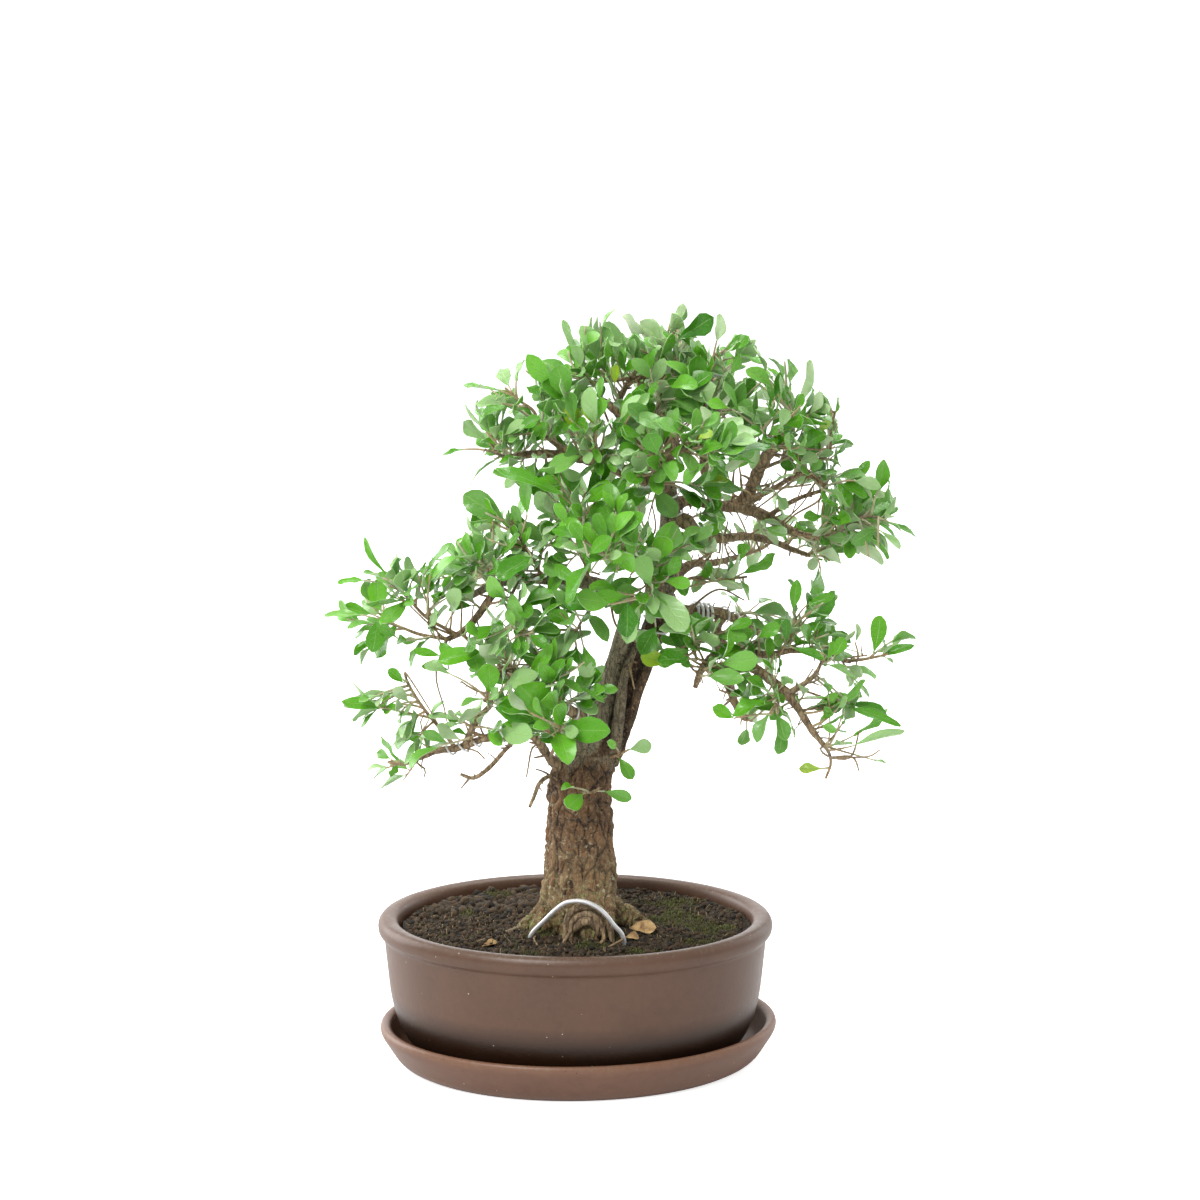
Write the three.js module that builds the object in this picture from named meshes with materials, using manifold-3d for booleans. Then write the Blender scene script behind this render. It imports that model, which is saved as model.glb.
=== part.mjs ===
import * as THREE from 'three';
import { mergeVertices } from 'three/addons/utils/BufferGeometryUtils.js';
import Module from 'manifold-3d';

// A thorny olive bonsai in its oval glazed pot on a matching saucer.
// Millimetres, +Z up, +X to the right seen from the front, which faces -Y.
// The origin is on the surface that the saucer stands on, under the pot's middle.

// Driving dimensions
const potLength = 255;
const ovalRatio = 0.78;
const potTop = 97;
const saucerTop = 27.2;
const saucerFloor = 6;
const saucerMargin = 0.7;
const saucerShift = 2.5;
const saucerTurn = 6;
const drainHole = 16;
const drainSpacing = 80;
const ovalSides = 22;

// Clearance between pieces, and how far a join may shift a facet to drop slivers
const fitGap = 0.3;
const facetSlack = 0.2;

// Soil surface: its level, the mound round the trunk and the height of the crumbs' swells
const soilLevel = 89.5;
const moundHeight = 3;
const moundReach = 45;
const soilSwell = 0.9;

// Leaves and twigs
const leafThickness = 0.7;
const leafRootWidth = 0.12;
const largeLeaf = 22;
const longShoot = 34;
const stemRadius = 1.5;
const shootRadius = 0.75;
const shootRootShare = 0.4;
const shootSpacing = 2.5;
const shootSpan = [0.1, 0.98];
const shootRise = 0.08;
const crownAxis = [45, 0];
const firstSeed = 100;

// Aluminium training wire
const wireThickness = 2.4;
const baseWireThickness = 3.3;
const windingSlack = 0.9;

// The trunk and its surface roots: x, y, z and radius
const trunkLine = [
  [0, -4, 66, 22], [0, -4, 84, 26], [1, -4, 98, 26], [1, -4, 112, 25], [2, -4, 128, 23.5],
  [2, -3, 144, 22.5], [2, -3, 160, 21.5], [2, -2, 178, 20.5], [4, -1, 195, 20.5], [9, 0, 210, 17],
  [12, 0, 220, 11],
];
const rootLines = [
  [[12, -6, 106, 13], [28, -5, 98, 8.5], [40, -3, 92, 5.5], [53, -4, 87, 2.4]],
  [[0, -14, 108, 13], [4, -26, 100, 9.5], [6, -34, 92, 6.5], [8, -42, 85, 3]],
  [[-10, -6, 106, 13], [-24, -9, 96, 7.5], [-36, -12, 90, 4.6], [-48, -17, 86, 2.2]],
  [[-4, 8, 106, 13], [-10, 20, 97, 8], [-16, 31, 90, 4.6], [-24, 40, 86, 2.2]],
  [[12, 6, 106, 12], [22, 18, 96, 7.5], [32, 28, 90, 4.2], [42, 36, 86, 2]],
];

// The branches, each starting inside what it grows from: x, y, z and radius
const branches = {
  stemLeft: [[6, 2, 199, 14], [13, 2, 223, 12], [20, 1, 245, 10.2], [26, 0, 265, 9.2],
    [32, -2, 283, 8.2], [34, -5, 298, 7], [29, -10, 310, 6], [16, -16, 317, 5.2], [0, -22, 322, 4.6],
    [-18, -27, 324, 4], [-39, -30, 324, 3.3], [-57, -28, 318, 2.6], [-71, -20, 309, 1.8]],
  stemRight: [[14, -1, 199, 13], [23, -2, 223, 9.5], [30, -2, 241, 8.2], [38, -1, 260, 7.8],
    [46, 0, 277, 7.8], [52, 2, 294, 7.8], [55, 3, 311, 7.6], [57, 4, 329, 7.2], [59, 4, 347, 6.8],
    [60, 4, 364, 6.2], [58, 3, 380, 5], [56, 2, 391, 4]],
  ridge: [[19, -9, 205, 6], [23, -10, 224, 5], [27, -9, 242, 4.5], [29, -8, 258, 4.2],
    [32, -6, 274, 3.8], [37, -3, 287, 3]],
  crownLeft: [[58, 3, 376, 4.8], [40, -6, 385, 4.2], [20, -14, 394, 3.8], [2, -20, 400, 3.3],
    [-18, -24, 403, 2.9], [-35, -24, 402, 2.3], [-46, -20, 399, 1.6]],
  leftRiser: [[57, 2, 386, 3.8], [44, -2, 401, 3.3], [34, -5, 415, 3], [23, -8, 430, 2.6],
    [15, -10, 436, 2]],
  topFork: [[24, -8, 428, 2.2], [29, -2, 438, 2], [34, 4, 446, 1.8], [40, 10, 454, 1.3]],
  leader: [[57, 3, 387, 4], [59, 8, 402, 3.2], [55, 12, 417, 2.8], [53, 14, 432, 2.4],
    [54, 16, 444, 1.9]],
  crownRight: [[89, 15, 362, 3.2], [84, 8, 380, 3], [81, 4, 395, 2.8], [80, 2, 414, 2.5],
    [82, 2, 437, 2.2], [85, 2, 452, 1.6]],
  topSpan: [[82, 2, 435, 2], [76, 2, 446, 2], [65, 0, 447, 1.8], [53, -2, 449, 1.7],
    [34, -4, 448, 1.4]],
  rightLong: [[60, 5, 364, 4.5], [71, 10, 368, 3.6], [88, 14, 364, 3.7], [105, 18, 362, 3.9],
    [121, 22, 356, 3.6], [134, 24, 348, 3], [146, 24, 343, 2.5], [157, 22, 342, 2.1],
    [169, 18, 345, 1.6]],
  rightRise: [[102, 17, 362, 4], [111, 8, 375, 4.2], [117, -4, 393, 4.2], [125, -12, 406, 4],
    [134, -18, 415, 3.2]],
  rightLow: [[60, 3, 358, 6], [69, 2, 356, 5], [80, 5, 346, 4.2], [95, 14, 343, 3.2],
    [110, 26, 342, 2.8], [127, 36, 337, 2.4], [139, 42, 331, 2], [152, 44, 326, 1.5]],
  netTwigHigh: [[109, 18, 364, 1.8], [127, 12, 376, 1.7], [145, 6, 386, 1.5], [158, 2, 378, 1.1]],
  netTwigLow: [[123, 22, 356, 1.7], [141, 20, 367, 1.5], [161, 14, 375, 1.1]],
  crownBack: [[58, 4, 386, 3.6], [61, 30, 400, 3], [68, 54, 414, 2.5], [77, 76, 423, 1.7]],
  crownFront: [[58, 1, 375, 3.8], [50, -25, 390, 3.1], [55, -48, 405, 2.6], [68, -68, 413, 1.8]],
  midBack: [[57, 4, 319, 4], [49, 34, 336, 3.2], [40, 60, 336, 2.5], [27, 82, 337, 1.7]],
  backRight: [[54, 4, 302, 3.8], [72, 34, 321, 3], [91, 58, 319, 2.4], [110, 78, 320, 1.7]],
  frontMid: [[54, 2, 305, 4.4], [48, -24, 328, 3.5], [36, -48, 340, 2.8], [22, -70, 348, 1.9]],
  lowArch: [[11, -4, 225, 4.8], [-2, -20, 236, 3.9], [-15, -32, 248, 3.2], [-26, -40, 260, 2.7],
    [-36, -44, 268, 2.4], [-46, -44, 270, 1.9], [-53, -42, 263, 1.2]],
  lowLeft: [[-9, -10, 194, 3.8], [-19, -24, 210, 3.1], [-27, -32, 223, 2.8], [-39, -36, 227, 2.8],
    [-51, -38, 225, 2.7], [-62, -38, 222, 2.6], [-74, -36, 217, 2.5], [-87, -32, 214, 2.1],
    [-100, -28, 208, 1.6]],
  hangingTwig: [[-36, -35, 225, 2], [-45, -30, 214, 1.6], [-57, -26, 200, 1.4], [-66, -24, 194, 1.3],
    [-74, -22, 196, 1]],
  trunkTwig: [[-13, -14, 195, 1.7], [-23, -22, 191, 1.4], [-27, -24, 182, 1.2], [-30, -25, 175, 0.9]],
  rightMidA: [[51, 2, 292, 5.6], [66, 8, 296, 4.7], [81, 14, 294, 4.2], [95, 20, 292, 3.6],
    [107, 26, 285, 2.6], [120, 32, 276, 1.7]],
  rightMidB: [[94, 19, 292, 3.5], [90, 10, 283, 3.3], [93, 2, 275, 3.2], [105, -4, 274, 2.7],
    [122, -8, 271, 2.3], [138, -8, 274, 2.1], [151, -6, 272, 1.9], [164, -2, 268, 1.8],
    [176, 4, 264, 1.5]],
  rightLowA: [[93, 3, 276, 3.6], [102, -6, 269, 3.3], [113, -14, 264, 3.1], [124, -20, 257, 3.3],
    [134, -24, 249, 3.4], [141, -26, 240, 2.8], [150, -28, 226, 2.3], [157, -28, 217, 1.7]],
  rightLowUp: [[134, -24, 249, 2.3], [143, -30, 256, 1.9], [151, -34, 264, 1.5], [155, -36, 273, 1]],
  rightLowBack: [[103, -6, 268, 3.2], [99, 7, 254, 2.7], [102, 16, 237, 2.4], [110, 20, 222, 1.6]],
  frontStub: [[93, 1, 275, 3.1], [84, -18, 269, 2.8], [78, -36, 265, 2.4], [75, -44, 258, 1.8]],
  padLimb: [[-48, -29, 321, 3], [-55, -32, 311, 2.5], [-63, -34, 300, 2.4], [-72, -34, 291, 2.2],
    [-82, -33, 286, 1.7]],
};

// The leafy sprays. Each grows from a branch at a share of its length, has one stem, and carries
// leaves that reach the points given: x, y, z of the tip, the leaf's length and, where it isn't
// the usual spoon shape, how wide it is against that.
const sprays = [
  {
    name: 'leafyTopLeader', limb: 'leader', at: 1,
    stem: [[53, 18, 457], [58, 18, 469], [64, 16, 477]],
    leaves: [[68, 16, 494, 13], [54, 4, 480, 13], [30, -8, 488, 24],
      [17, -22, 472, 20], [47, -22, 471, 18]],
  },
  {
    name: 'leafyTopLeft', limb: 'topSpan', at: 1,
    stem: [[15, -6, 446], [-1, -8, 446]],
    leaves: [[8, 0, 486, 15], [16, -14, 481, 24], [14, -30, 465, 20],
      [-9, -8, 485, 26, 0.5], [-32, -14, 457, 27, 0.8], [-27, 6, 450, 20]],
  },
  {
    name: 'leafyTopRight', limb: 'crownRight', at: 1,
    stem: [[86, 0, 459], [90, -2, 466]],
    leaves: [[93, 0, 488, 18, 1.2], [91, -22, 468, 16], [77, 14, 468, 18], [109, -5, 474, 18],
      [117, -12, 463, 20]],
  },
  {
    name: 'leafyTopBack', limb: 'crownBack', at: 0.5,
    stem: [[64, 58, 426], [57, 60, 438]],
    leaves: [[73, 50, 460, 17], [58, 56, 467, 18], [94, 48, 452, 18], [48, 94, 424, 20],
      [33, 88, 403, 20]],
  },
  {
    name: 'leafyBackCrown', limb: 'crownBack', at: 1,
    stem: [[85, 90, 427], [94, 98, 429]],
    leaves: [[96, 112, 439, 20], [115, 112, 419, 20], [77, 98, 444, 18], [125, 100, 405, 18]],
  },
  {
    name: 'leafyLeftTwig', limb: 'crownLeft', at: 0.62,
    stem: [[-22, -27, 418], [-26, -28, 430], [-35, -28, 437], [-44, -28, 445]],
    leaves: [[-70, -32, 448, 24], [-34, -26, 463, 14], [-48, -12, 457, 18]],
  },
  {
    name: 'leafyLeftTip', limb: 'crownLeft', at: 1,
    stem: [[-51, -22, 405], [-54, -24, 413]],
    leaves: [[-71, -30, 424, 20], [-64, -8, 413, 19], [-84, -18, 403, 14, 0.6],
      [-69, -34, 389, 28, 0.35], [-33, -46, 426, 20], [-22, -54, 430, 20]],
  },
  {
    name: 'leafyLeftRise', limb: 'crownLeft', at: 0.4,
    stem: [[1, -24, 418], [-2, -26, 431], [-6, -26, 442]],
    leaves: [[-33, -28, 438, 25], [-19, -38, 449, 25], [8, -46, 440, 18]],
  },
  {
    name: 'leafyLeftFront', limb: 'crownLeft', at: 0.22,
    stem: [[16, -34, 404], [11, -48, 411]],
    leaves: [[-14, -58, 439, 16], [-2, -66, 427, 16], [9, -70, 418, 18], [25, -62, 418, 24]],
  },
  {
    name: 'leafyLeftBack', limb: 'crownLeft', at: 0.5,
    stem: [[-12, -2, 407], [-16, 18, 412]],
    leaves: [[-41, 22, 426, 18], [-20, 36, 436, 18], [-3, 46, 425, 18]],
  },
  {
    name: 'leafyFrontCrown', limb: 'crownFront', at: 0.55,
    stem: [[49, -58, 407]],
    leaves: [[41, -66, 420, 24], [24, -70, 395, 27], [61, -78, 399, 20]],
  },
  {
    name: 'leafyFrontPale', limb: 'crownFront', at: 1,
    stem: [[76, -80, 416], [83, -86, 412]],
    leaves: [[52, -86, 436, 26], [37, -72, 435, 22], [89, -94, 431, 25], [71, -104, 423, 18]],
  },
  {
    name: 'leafyFrontRise', limb: 'leader', at: 0.45,
    stem: [[50, -4, 425], [54, -16, 436]],
    leaves: [[34, -26, 422, 20], [63, -12, 447, 22], [72, -30, 435, 22]],
  },
  {
    name: 'leafyRightHigh', limb: 'rightRise', at: 1,
    stem: [[136, -14, 424], [133, -8, 434]],
    leaves: [[151, -26, 442, 27], [156, -16, 460, 34, 0.6], [146, -40, 427, 20],
      [129, -34, 447, 20, 0.8], [126, 8, 461, 18], [110, 36, 443, 20]],
  },
  {
    name: 'leafyRightDark', limb: 'rightRise', at: 0.7,
    stem: [[120, -26, 413], [114, -38, 421]],
    leaves: [[120, -56, 416, 25], [103, -38, 436, 22], [141, -48, 415, 16]],
  },
  {
    name: 'leafyCrownMid', limb: 'crownRight', at: 0.6,
    stem: [[83, -12, 423], [89, -24, 431]],
    leaves: [[96, -26, 448, 20], [103, -50, 429, 20], [78, -44, 443, 22], [86, -62, 416, 20]],
  },
  {
    name: 'leafyRightTwig', limb: 'rightRise', at: 0.5,
    stem: [[135, 0, 396], [150, 4, 394], [160, 6, 398], [162, 6, 414], [164, 6, 425]],
    leaves: [[176, 10, 407, 14], [166, 4, 432, 13], [155, -10, 420, 16], [143, -10, 408, 24]],
  },
  {
    name: 'leafyRightTip', limb: 'rightLong', at: 1,
    stem: [[178, 12, 354], [185, 10, 358], [193, 10, 357]],
    leaves: [[163, 4, 386, 28], [174, 18, 386, 18], [203, 4, 379, 20], [221, 14, 345, 28, 0.5],
      [204, 2, 349, 24, 0.8], [201, -4, 334, 24], [198, 24, 361, 22],
      [183, 18, 332, 18, 1.2], [161, -22, 361, 18]],
  },
  {
    name: 'leafyRightBack', limb: 'rightLow', at: 1,
    stem: [[163, 50, 330], [168, 54, 340]],
    leaves: [[154, 60, 314, 16], [146, 66, 346, 18], [176, 62, 337, 18], [175, 52, 361, 18]],
  },
  {
    name: 'leafyRightInner', limb: 'rightRise', at: 0.2,
    stem: [[115, -4, 374], [122, -12, 381]],
    leaves: [[117, -32, 381, 18], [88, -20, 383, 22], [137, -22, 391, 16]],
  },
  {
    name: 'leafyBackRight', limb: 'backRight', at: 1,
    stem: [[127, 92, 325], [135, 98, 335]],
    leaves: [[146, 108, 343, 20], [154, 100, 327, 18], [133, 106, 361, 18], [118, 116, 309, 20],
      [84, 94, 341, 20], [105, 84, 342, 18]],
  },
  {
    name: 'leafyBackMid', limb: 'midBack', at: 1,
    stem: [[14, 98, 337], [4, 104, 348]],
    leaves: [[-15, 112, 352, 22], [0, 108, 371, 20], [19, 98, 380, 18], [-23, 116, 328, 20],
      [31, 86, 365, 18], [47, 88, 370, 18]],
  },
  {
    name: 'leafyMidBig', limb: 'stemLeft', at: 0.62,
    stem: [[5, -34, 340], [4, -40, 357], [0, -42, 372], [-9, -42, 385]],
    leaves: [[-51, -50, 397, 38, 0.85], [22, -58, 390, 25], [32, -50, 391, 20], [-5, -28, 369, 18]],
  },
  {
    name: 'leafyMidLeft', limb: 'stemLeft', at: 0.76,
    stem: [[-26, -38, 338], [-34, -42, 351], [-40, -40, 364]],
    leaves: [[-70, -38, 380, 31], [-47, -62, 332, 30], [-35, -46, 372, 22], [-16, -66, 355, 27]],
  },
  {
    name: 'leafyFrontMid', limb: 'frontMid', at: 1,
    stem: [[14, -84, 351], [8, -92, 348]],
    leaves: [[37, -100, 374, 30, 0.8], [8, -96, 368, 24, 0.7], [-9, -100, 358, 24], [-5, -94, 321, 33]],
  },
  {
    name: 'leafyFrontLow', limb: 'frontMid', at: 0.42,
    stem: [[46, -52, 325], [47, -62, 320]],
    leaves: [[69, -78, 304, 40, 0.75], [48, -72, 313, 18], [30, -72, 293, 24], [66, -50, 363, 24]],
  },
  {
    name: 'leafyPaleShoot', limb: 'rightMidA', at: 0.25,
    stem: [[72, -12, 293], [74, -26, 284], [76, -34, 273]],
    leaves: [[51, -42, 274, 24], [83, -34, 287, 24], [58, -34, 298, 25], [108, -40, 269, 34, 0.7]],
  },
  {
    name: 'leafyMidUnder', limb: 'stemLeft', at: 0.5,
    stem: [[12, -30, 307], [4, -40, 300], [-1, -46, 291]],
    leaves: [[16, -48, 297, 24], [-14, -50, 310, 18], [-12, -58, 282, 25]],
  },
  {
    name: 'leafyMidRight', limb: 'stemRight', at: 0.55,
    stem: [[72, 0, 319], [91, -4, 319], [109, -4, 321]],
    leaves: [[104, -30, 339, 34, 0.7], [50, -46, 347, 24], [107, -16, 347, 18], [128, 0, 334, 24, 0.9],
      [110, -8, 306, 16, 1.2]],
  },
  {
    name: 'leafyPadTip', limb: 'padLimb', at: 0.84,
    stem: [[-94, -36, 301], [-103, -38, 311], [-110, -40, 319], [-119, -42, 327]],
    leaves: [[-135, -42, 351, 30, 0.4], [-149, -46, 326, 18, 0.6], [-132, -52, 333, 14, 1.2],
      [-120, -62, 304, 28, 0.8], [-104, -62, 324, 22], [-93, -52, 339, 18], [-80, -44, 351, 24, 0.7]],
  },
  {
    name: 'leafyPadLow', limb: 'padLimb', at: 1,
    stem: [[-99, -30, 289], [-111, -27, 293], [-121, -25, 296]],
    leaves: [[-159, -26, 303, 24, 0.6], [-148, -16, 304, 20], [-128, -34, 276, 24, 1.2],
      [-90, -62, 310, 32, 0.8], [-102, -44, 280, 28, 0.6], [-77, -52, 278, 18]],
  },
  {
    name: 'leafyPadTop', limb: 'stemLeft', at: 0.88,
    stem: [[-55, -36, 331], [-61, -34, 342]],
    leaves: [[-76, -26, 345, 20], [-85, -58, 333, 29, 0.7], [-63, -18, 360, 18], [-47, -40, 356, 25]],
  },
  {
    name: 'leafyPadBack', limb: 'stemLeft', at: 0.9,
    stem: [[-56, -4, 319], [-58, 20, 324]],
    leaves: [[-94, 14, 330, 20], [-78, 28, 341, 18], [-56, 38, 344, 20], [-34, 42, 337, 20],
      [-51, 56, 313, 18]],
  },
  {
    name: 'leafyPadUnder', limb: 'stemLeft', at: 0.82,
    stem: [[-41, -46, 313], [-37, -56, 303], [-33, -60, 294]],
    leaves: [[-62, -70, 293, 22, 1.2], [-56, -64, 285, 27], [-22, -64, 304, 20], [-35, -62, 279, 18]],
  },
  {
    name: 'leafyLowUp', limb: 'lowLeft', at: 0.78,
    stem: [[-86, -32, 228], [-96, -30, 240], [-104, -28, 252], [-108, -26, 260]],
    leaves: [[-148, -30, 245, 33, 0.7], [-142, -38, 236, 20, 0.8]],
  },
  {
    name: 'leafyLowTip', limb: 'lowLeft', at: 1,
    stem: [[-110, -24, 203], [-119, -20, 204]],
    leaves: [[-125, -28, 221, 20], [-118, -16, 193, 12], [-100, -46, 216, 16], [-86, -40, 249, 18]],
  },
  {
    name: 'leafyLowFork', limb: 'lowLeft', at: 0.6,
    stem: [[-66, -40, 229], [-61, -44, 238], [-53, -48, 247], [-56, -50, 256]],
    leaves: [[-72, -60, 251, 16], [-55, -62, 278, 24, 1.1], [-74, -56, 245, 20]],
  },
  {
    name: 'leafyLowBig', limb: 'lowLeft', at: 0.15,
    stem: [[-13, -48, 223], [-10, -66, 238]],
    leaves: [[-34, -78, 267, 38, 1.3], [21, -78, 239, 34, 1.1], [-5, -82, 221, 26, 1.1],
      [-45, -64, 240, 24]],
  },
  {
    name: 'leafyLowArch', limb: 'lowArch', at: 0.5,
    stem: [[-16, -46, 260], [-12, -56, 269]],
    leaves: [[4, -58, 260, 20], [19, -52, 253, 22, 0.4], [-14, -66, 291, 30, 0.4], [-36, -54, 284, 24]],
  },
  {
    name: 'leafyLowBack', limb: 'lowArch', at: 0.82,
    stem: [[-41, -18, 259], [-46, 4, 249]],
    leaves: [[-52, 14, 233, 18], [-69, 10, 256, 18], [-29, 28, 257, 20]],
  },
  {
    name: 'leafyTrunkRight', limb: 'stemRight', at: 0.04,
    stem: [[20, -9, 204], [27, -15, 207], [33, -18, 211]],
    leaves: [[21, -32, 219, 12], [48, -14, 214, 15, 1.2], [36, -24, 194, 17]],
  },
  {
    name: 'leafyTrunkFront', limb: 'trunk', at: 0.74,
    stem: [[3, -14, 183], [6, -26, 185], [11, -33, 187], [15, -37, 191]],
    leaves: [[-6, -50, 181, 22], [35, -38, 184, 18]],
  },
  {
    name: 'leafyRightRear', limb: 'rightMidA', at: 0.7,
    stem: [[110, 40, 289], [118, 50, 287]],
    leaves: [[131, 42, 288, 26, 1.4], [134, 30, 282, 18], [97, 62, 301, 20], [127, 80, 292, 20],
      [148, 74, 273, 20], [109, 68, 258, 18]],
  },
  {
    name: 'leafyRightUp', limb: 'rightMidB', at: 0.55,
    stem: [[136, -10, 282], [140, -10, 295]],
    leaves: [[140, -12, 321, 24, 1.2], [167, -4, 310, 26, 0.8], [167, 2, 292, 16],
      [177, 12, 279, 26, 0.9], [161, -32, 275, 34, 0.8]],
  },
  {
    name: 'leafyRightFar', limb: 'rightMidB', at: 1,
    stem: [[185, -2, 267], [199, -10, 272]],
    leaves: [[197, 6, 294, 26], [173, 10, 287, 14], [166, -22, 276, 26, 0.6], [215, -12, 278, 22, 0.7]],
  },
  {
    name: 'leafyRightDown', limb: 'rightLowA', at: 1,
    stem: [[161, -28, 211], [162, -26, 203], [159, -25, 194]],
    leaves: [[208, -34, 229, 36, 0.5], [201, -22, 237, 28, 0.6], [179, -32, 251, 22, 1.2],
      [174, -44, 222, 18], [142, -26, 201, 14], [199, -18, 202, 10]],
  },
  {
    name: 'leafyRightHang', limb: 'rightLowA', at: 0.42,
    stem: [[128, -34, 247], [123, -42, 240]],
    leaves: [[112, -50, 225, 20, 1.1], [132, -56, 226, 20], [141, -46, 228, 22], [98, -44, 242, 24]],
  },
  {
    name: 'leafyRightLowBack', limb: 'rightLowBack', at: 1,
    stem: [[114, 28, 219]],
    leaves: [[91, 30, 225, 14, 1.2], [128, 48, 229, 18], [110, 44, 201, 16]],
  },
];

// Wires wound on branches: the branch, the shares of its length that they cover, and the turns
const windings = {
  wireTrunk: { branch: 'stemRight', from: 0.72, to: 0.79, turns: 3 },
  wireRight: { branch: 'rightMidA', from: 0.31, to: 0.48, turns: 4 },
  wireLeft: { branch: 'lowLeft', from: 0.49, to: 0.585, turns: 4 },
};

// The loop of wire over the front root, from soil to soil
const baseWireLine = [
  [-31, -18, 80], [-29, -21, 93], [-18, -32, 107], [-7, -40, 115], [4, -43, 118],
  [15, -46, 113], [24, -48, 104], [31, -47, 90], [32, -47, 80],
];

// Dry leaves on the soil: x, y, heading in degrees, length and width
const fallenLeaves = [[36, -20, -12, 22, 9], [29, -40, 20, 17, 8], [-60, -50, 35, 15, 6]];

const wasm = await Module();
wasm.setup();

// A closed geometry as a solid that can be joined and cut
function toSolid(geometry) {
  const bare = geometry.clone();
  bare.deleteAttribute('normal');
  bare.deleteAttribute('uv');
  const merged = mergeVertices(bare, 1e-4);
  return new wasm.Manifold(new wasm.Mesh({
    numProp: 3,
    vertProperties: new Float32Array(merged.attributes.position.array),
    triVerts: new Uint32Array(merged.index.array),
  }));
}

function toGeometry(solid) {
  const { vertProperties, triVerts, numProp } = solid.getMesh();
  const places = [];
  for (let i = 0; i < vertProperties.length; i += numProp) {
    places.push(vertProperties[i], vertProperties[i + 1], vertProperties[i + 2]);
  }
  const geometry = new THREE.BufferGeometry();
  geometry.setAttribute('position', new THREE.Float32BufferAttribute(places, 3));
  geometry.setIndex([...triVerts]);
  geometry.computeVertexNormals();
  return geometry;
}

function join(solids) {
  return solids.reduce((whole, solid) => whole.add(solid)).simplify(facetSlack);
}

// The largest body of a solid, so that no loose scrap stays beside it
function mainBody(solid) {
  const bodies = solid.decompose().sort((a, b) => b.volume() - a.volume());
  return bodies[0];
}

// A repeatable random draw between 0 and 1
function seededDraw(seed) {
  let state = seed;
  return () => {
    state = (state + 0x6D2B79F5) | 0;
    let mixed = Math.imul(state ^ (state >>> 15), 1 | state);
    mixed = (mixed + Math.imul(mixed ^ (mixed >>> 7), 61 | mixed)) ^ mixed;
    return ((mixed ^ (mixed >>> 14)) >>> 0) / 4294967296;
  };
}

// A smooth line through points [x, y, z, radius], which knows its place and radius at any share
function makeLine(points) {
  const curve = new THREE.CatmullRomCurve3(points.map(([x, y, z]) => new THREE.Vector3(x, y, z)));
  const radiusAt = (share) => {
    const along = curve.getUtoTmapping(share, null) * (points.length - 1);
    const low = Math.min(Math.floor(along), points.length - 2);
    return THREE.MathUtils.lerp(points[low][3], points[low + 1][3], along - low);
  };
  return { curve, radiusAt, steps: points.length - 1 };
}

// A tapered rod along a line: a closed cylinder bent ring by ring. Bark swells it where asked.
function rod(line, sides, extra = 0, bark = 0, detail = 1) {
  const { curve, radiusAt } = line;
  const steps = Math.max(2, Math.round(line.steps * detail));
  const frames = curve.computeFrenetFrames(steps, false);
  const geometry = new THREE.CylinderGeometry(1, 1, 1, sides, steps);
  const place = geometry.attributes.position;
  const vertex = new THREE.Vector3();
  for (let i = 0; i < place.count; i += 1) {
    vertex.fromBufferAttribute(place, i);
    const ring = Math.round((vertex.y + 0.5) * steps);
    const turn = Math.atan2(vertex.z, vertex.x);
    const ridges = Math.sin(5 * turn + ring * 0.9) + 0.6 * Math.sin(3 * turn - ring * 1.7);
    const radius = (radiusAt(ring / steps) + extra) * (1 + bark * ridges);
    const centre = curve.getPointAt(ring / steps);
    centre.addScaledVector(frames.normals[ring], radius * vertex.x);
    centre.addScaledVector(frames.binormals[ring], -radius * vertex.z);
    place.setXYZ(i, centre.x, centre.y, centre.z);
  }
  return toSolid(geometry);
}

function ovalTurned(profile) {
  const points = profile.map(([radius, height]) => new THREE.Vector2(radius, height));
  const geometry = new THREE.LatheGeometry(points, ovalSides);
  geometry.rotateX(Math.PI / 2);
  geometry.scale(1, ovalRatio, 1);
  return geometry;
}

const halfLength = potLength / 2;
const potBase = saucerFloor + fitGap;

function makeSaucer() {
  const outer = halfLength + saucerMargin;
  const geometry = ovalTurned([
    [0, 0], [outer - 19, 0], [outer - 12, 3.5], [outer - 1, 20], [outer - 0.4, 25.6],
    [outer - 3, saucerTop], [outer - 7.4, 25.6], [outer - 14, 11],
    [outer - 22, saucerFloor], [0, saucerFloor],
  ]);
  geometry.rotateZ(THREE.MathUtils.degToRad(saucerTurn));
  geometry.translate(saucerShift, 0, 0);
  return toSolid(geometry);
}

// The inside of the pot, from its wall near the rim down to the floor
const innerWall = [[halfLength - 17, 30], [halfLength - 27, 15]];

function makePot() {
  const rim = halfLength;
  const body = ovalTurned([
    [0, potBase + 3], [rim - 35, potBase + 3], [rim - 34, potBase], [rim - 28, potBase],
    [rim - 16, 19], [rim - 8.5, 40], [rim - 4.8, 83], [rim - 0.6, 88],
    [rim, 93], [rim - 3.5, potTop], [rim - 11, 96.6], [rim - 14, 92.5],
    ...innerWall, [0, 15],
  ]);
  let pot = toSolid(body);
  for (const side of [-1, 1]) {
    const hole = new THREE.CylinderGeometry(drainHole / 2, drainHole / 2, 30, 8);
    hole.rotateX(Math.PI / 2);
    hole.translate(side * drainSpacing / 2, 0, 12);
    pot = pot.subtract(toSolid(hole));
  }
  return pot;
}

function soilHeight(x, y) {
  const mound = moundHeight * Math.exp(-(x * x + y * y) / (moundReach * moundReach));
  return soilLevel + mound + soilSwell * Math.sin(0.16 * x + 1) * Math.cos(0.14 * y);
}

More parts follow.
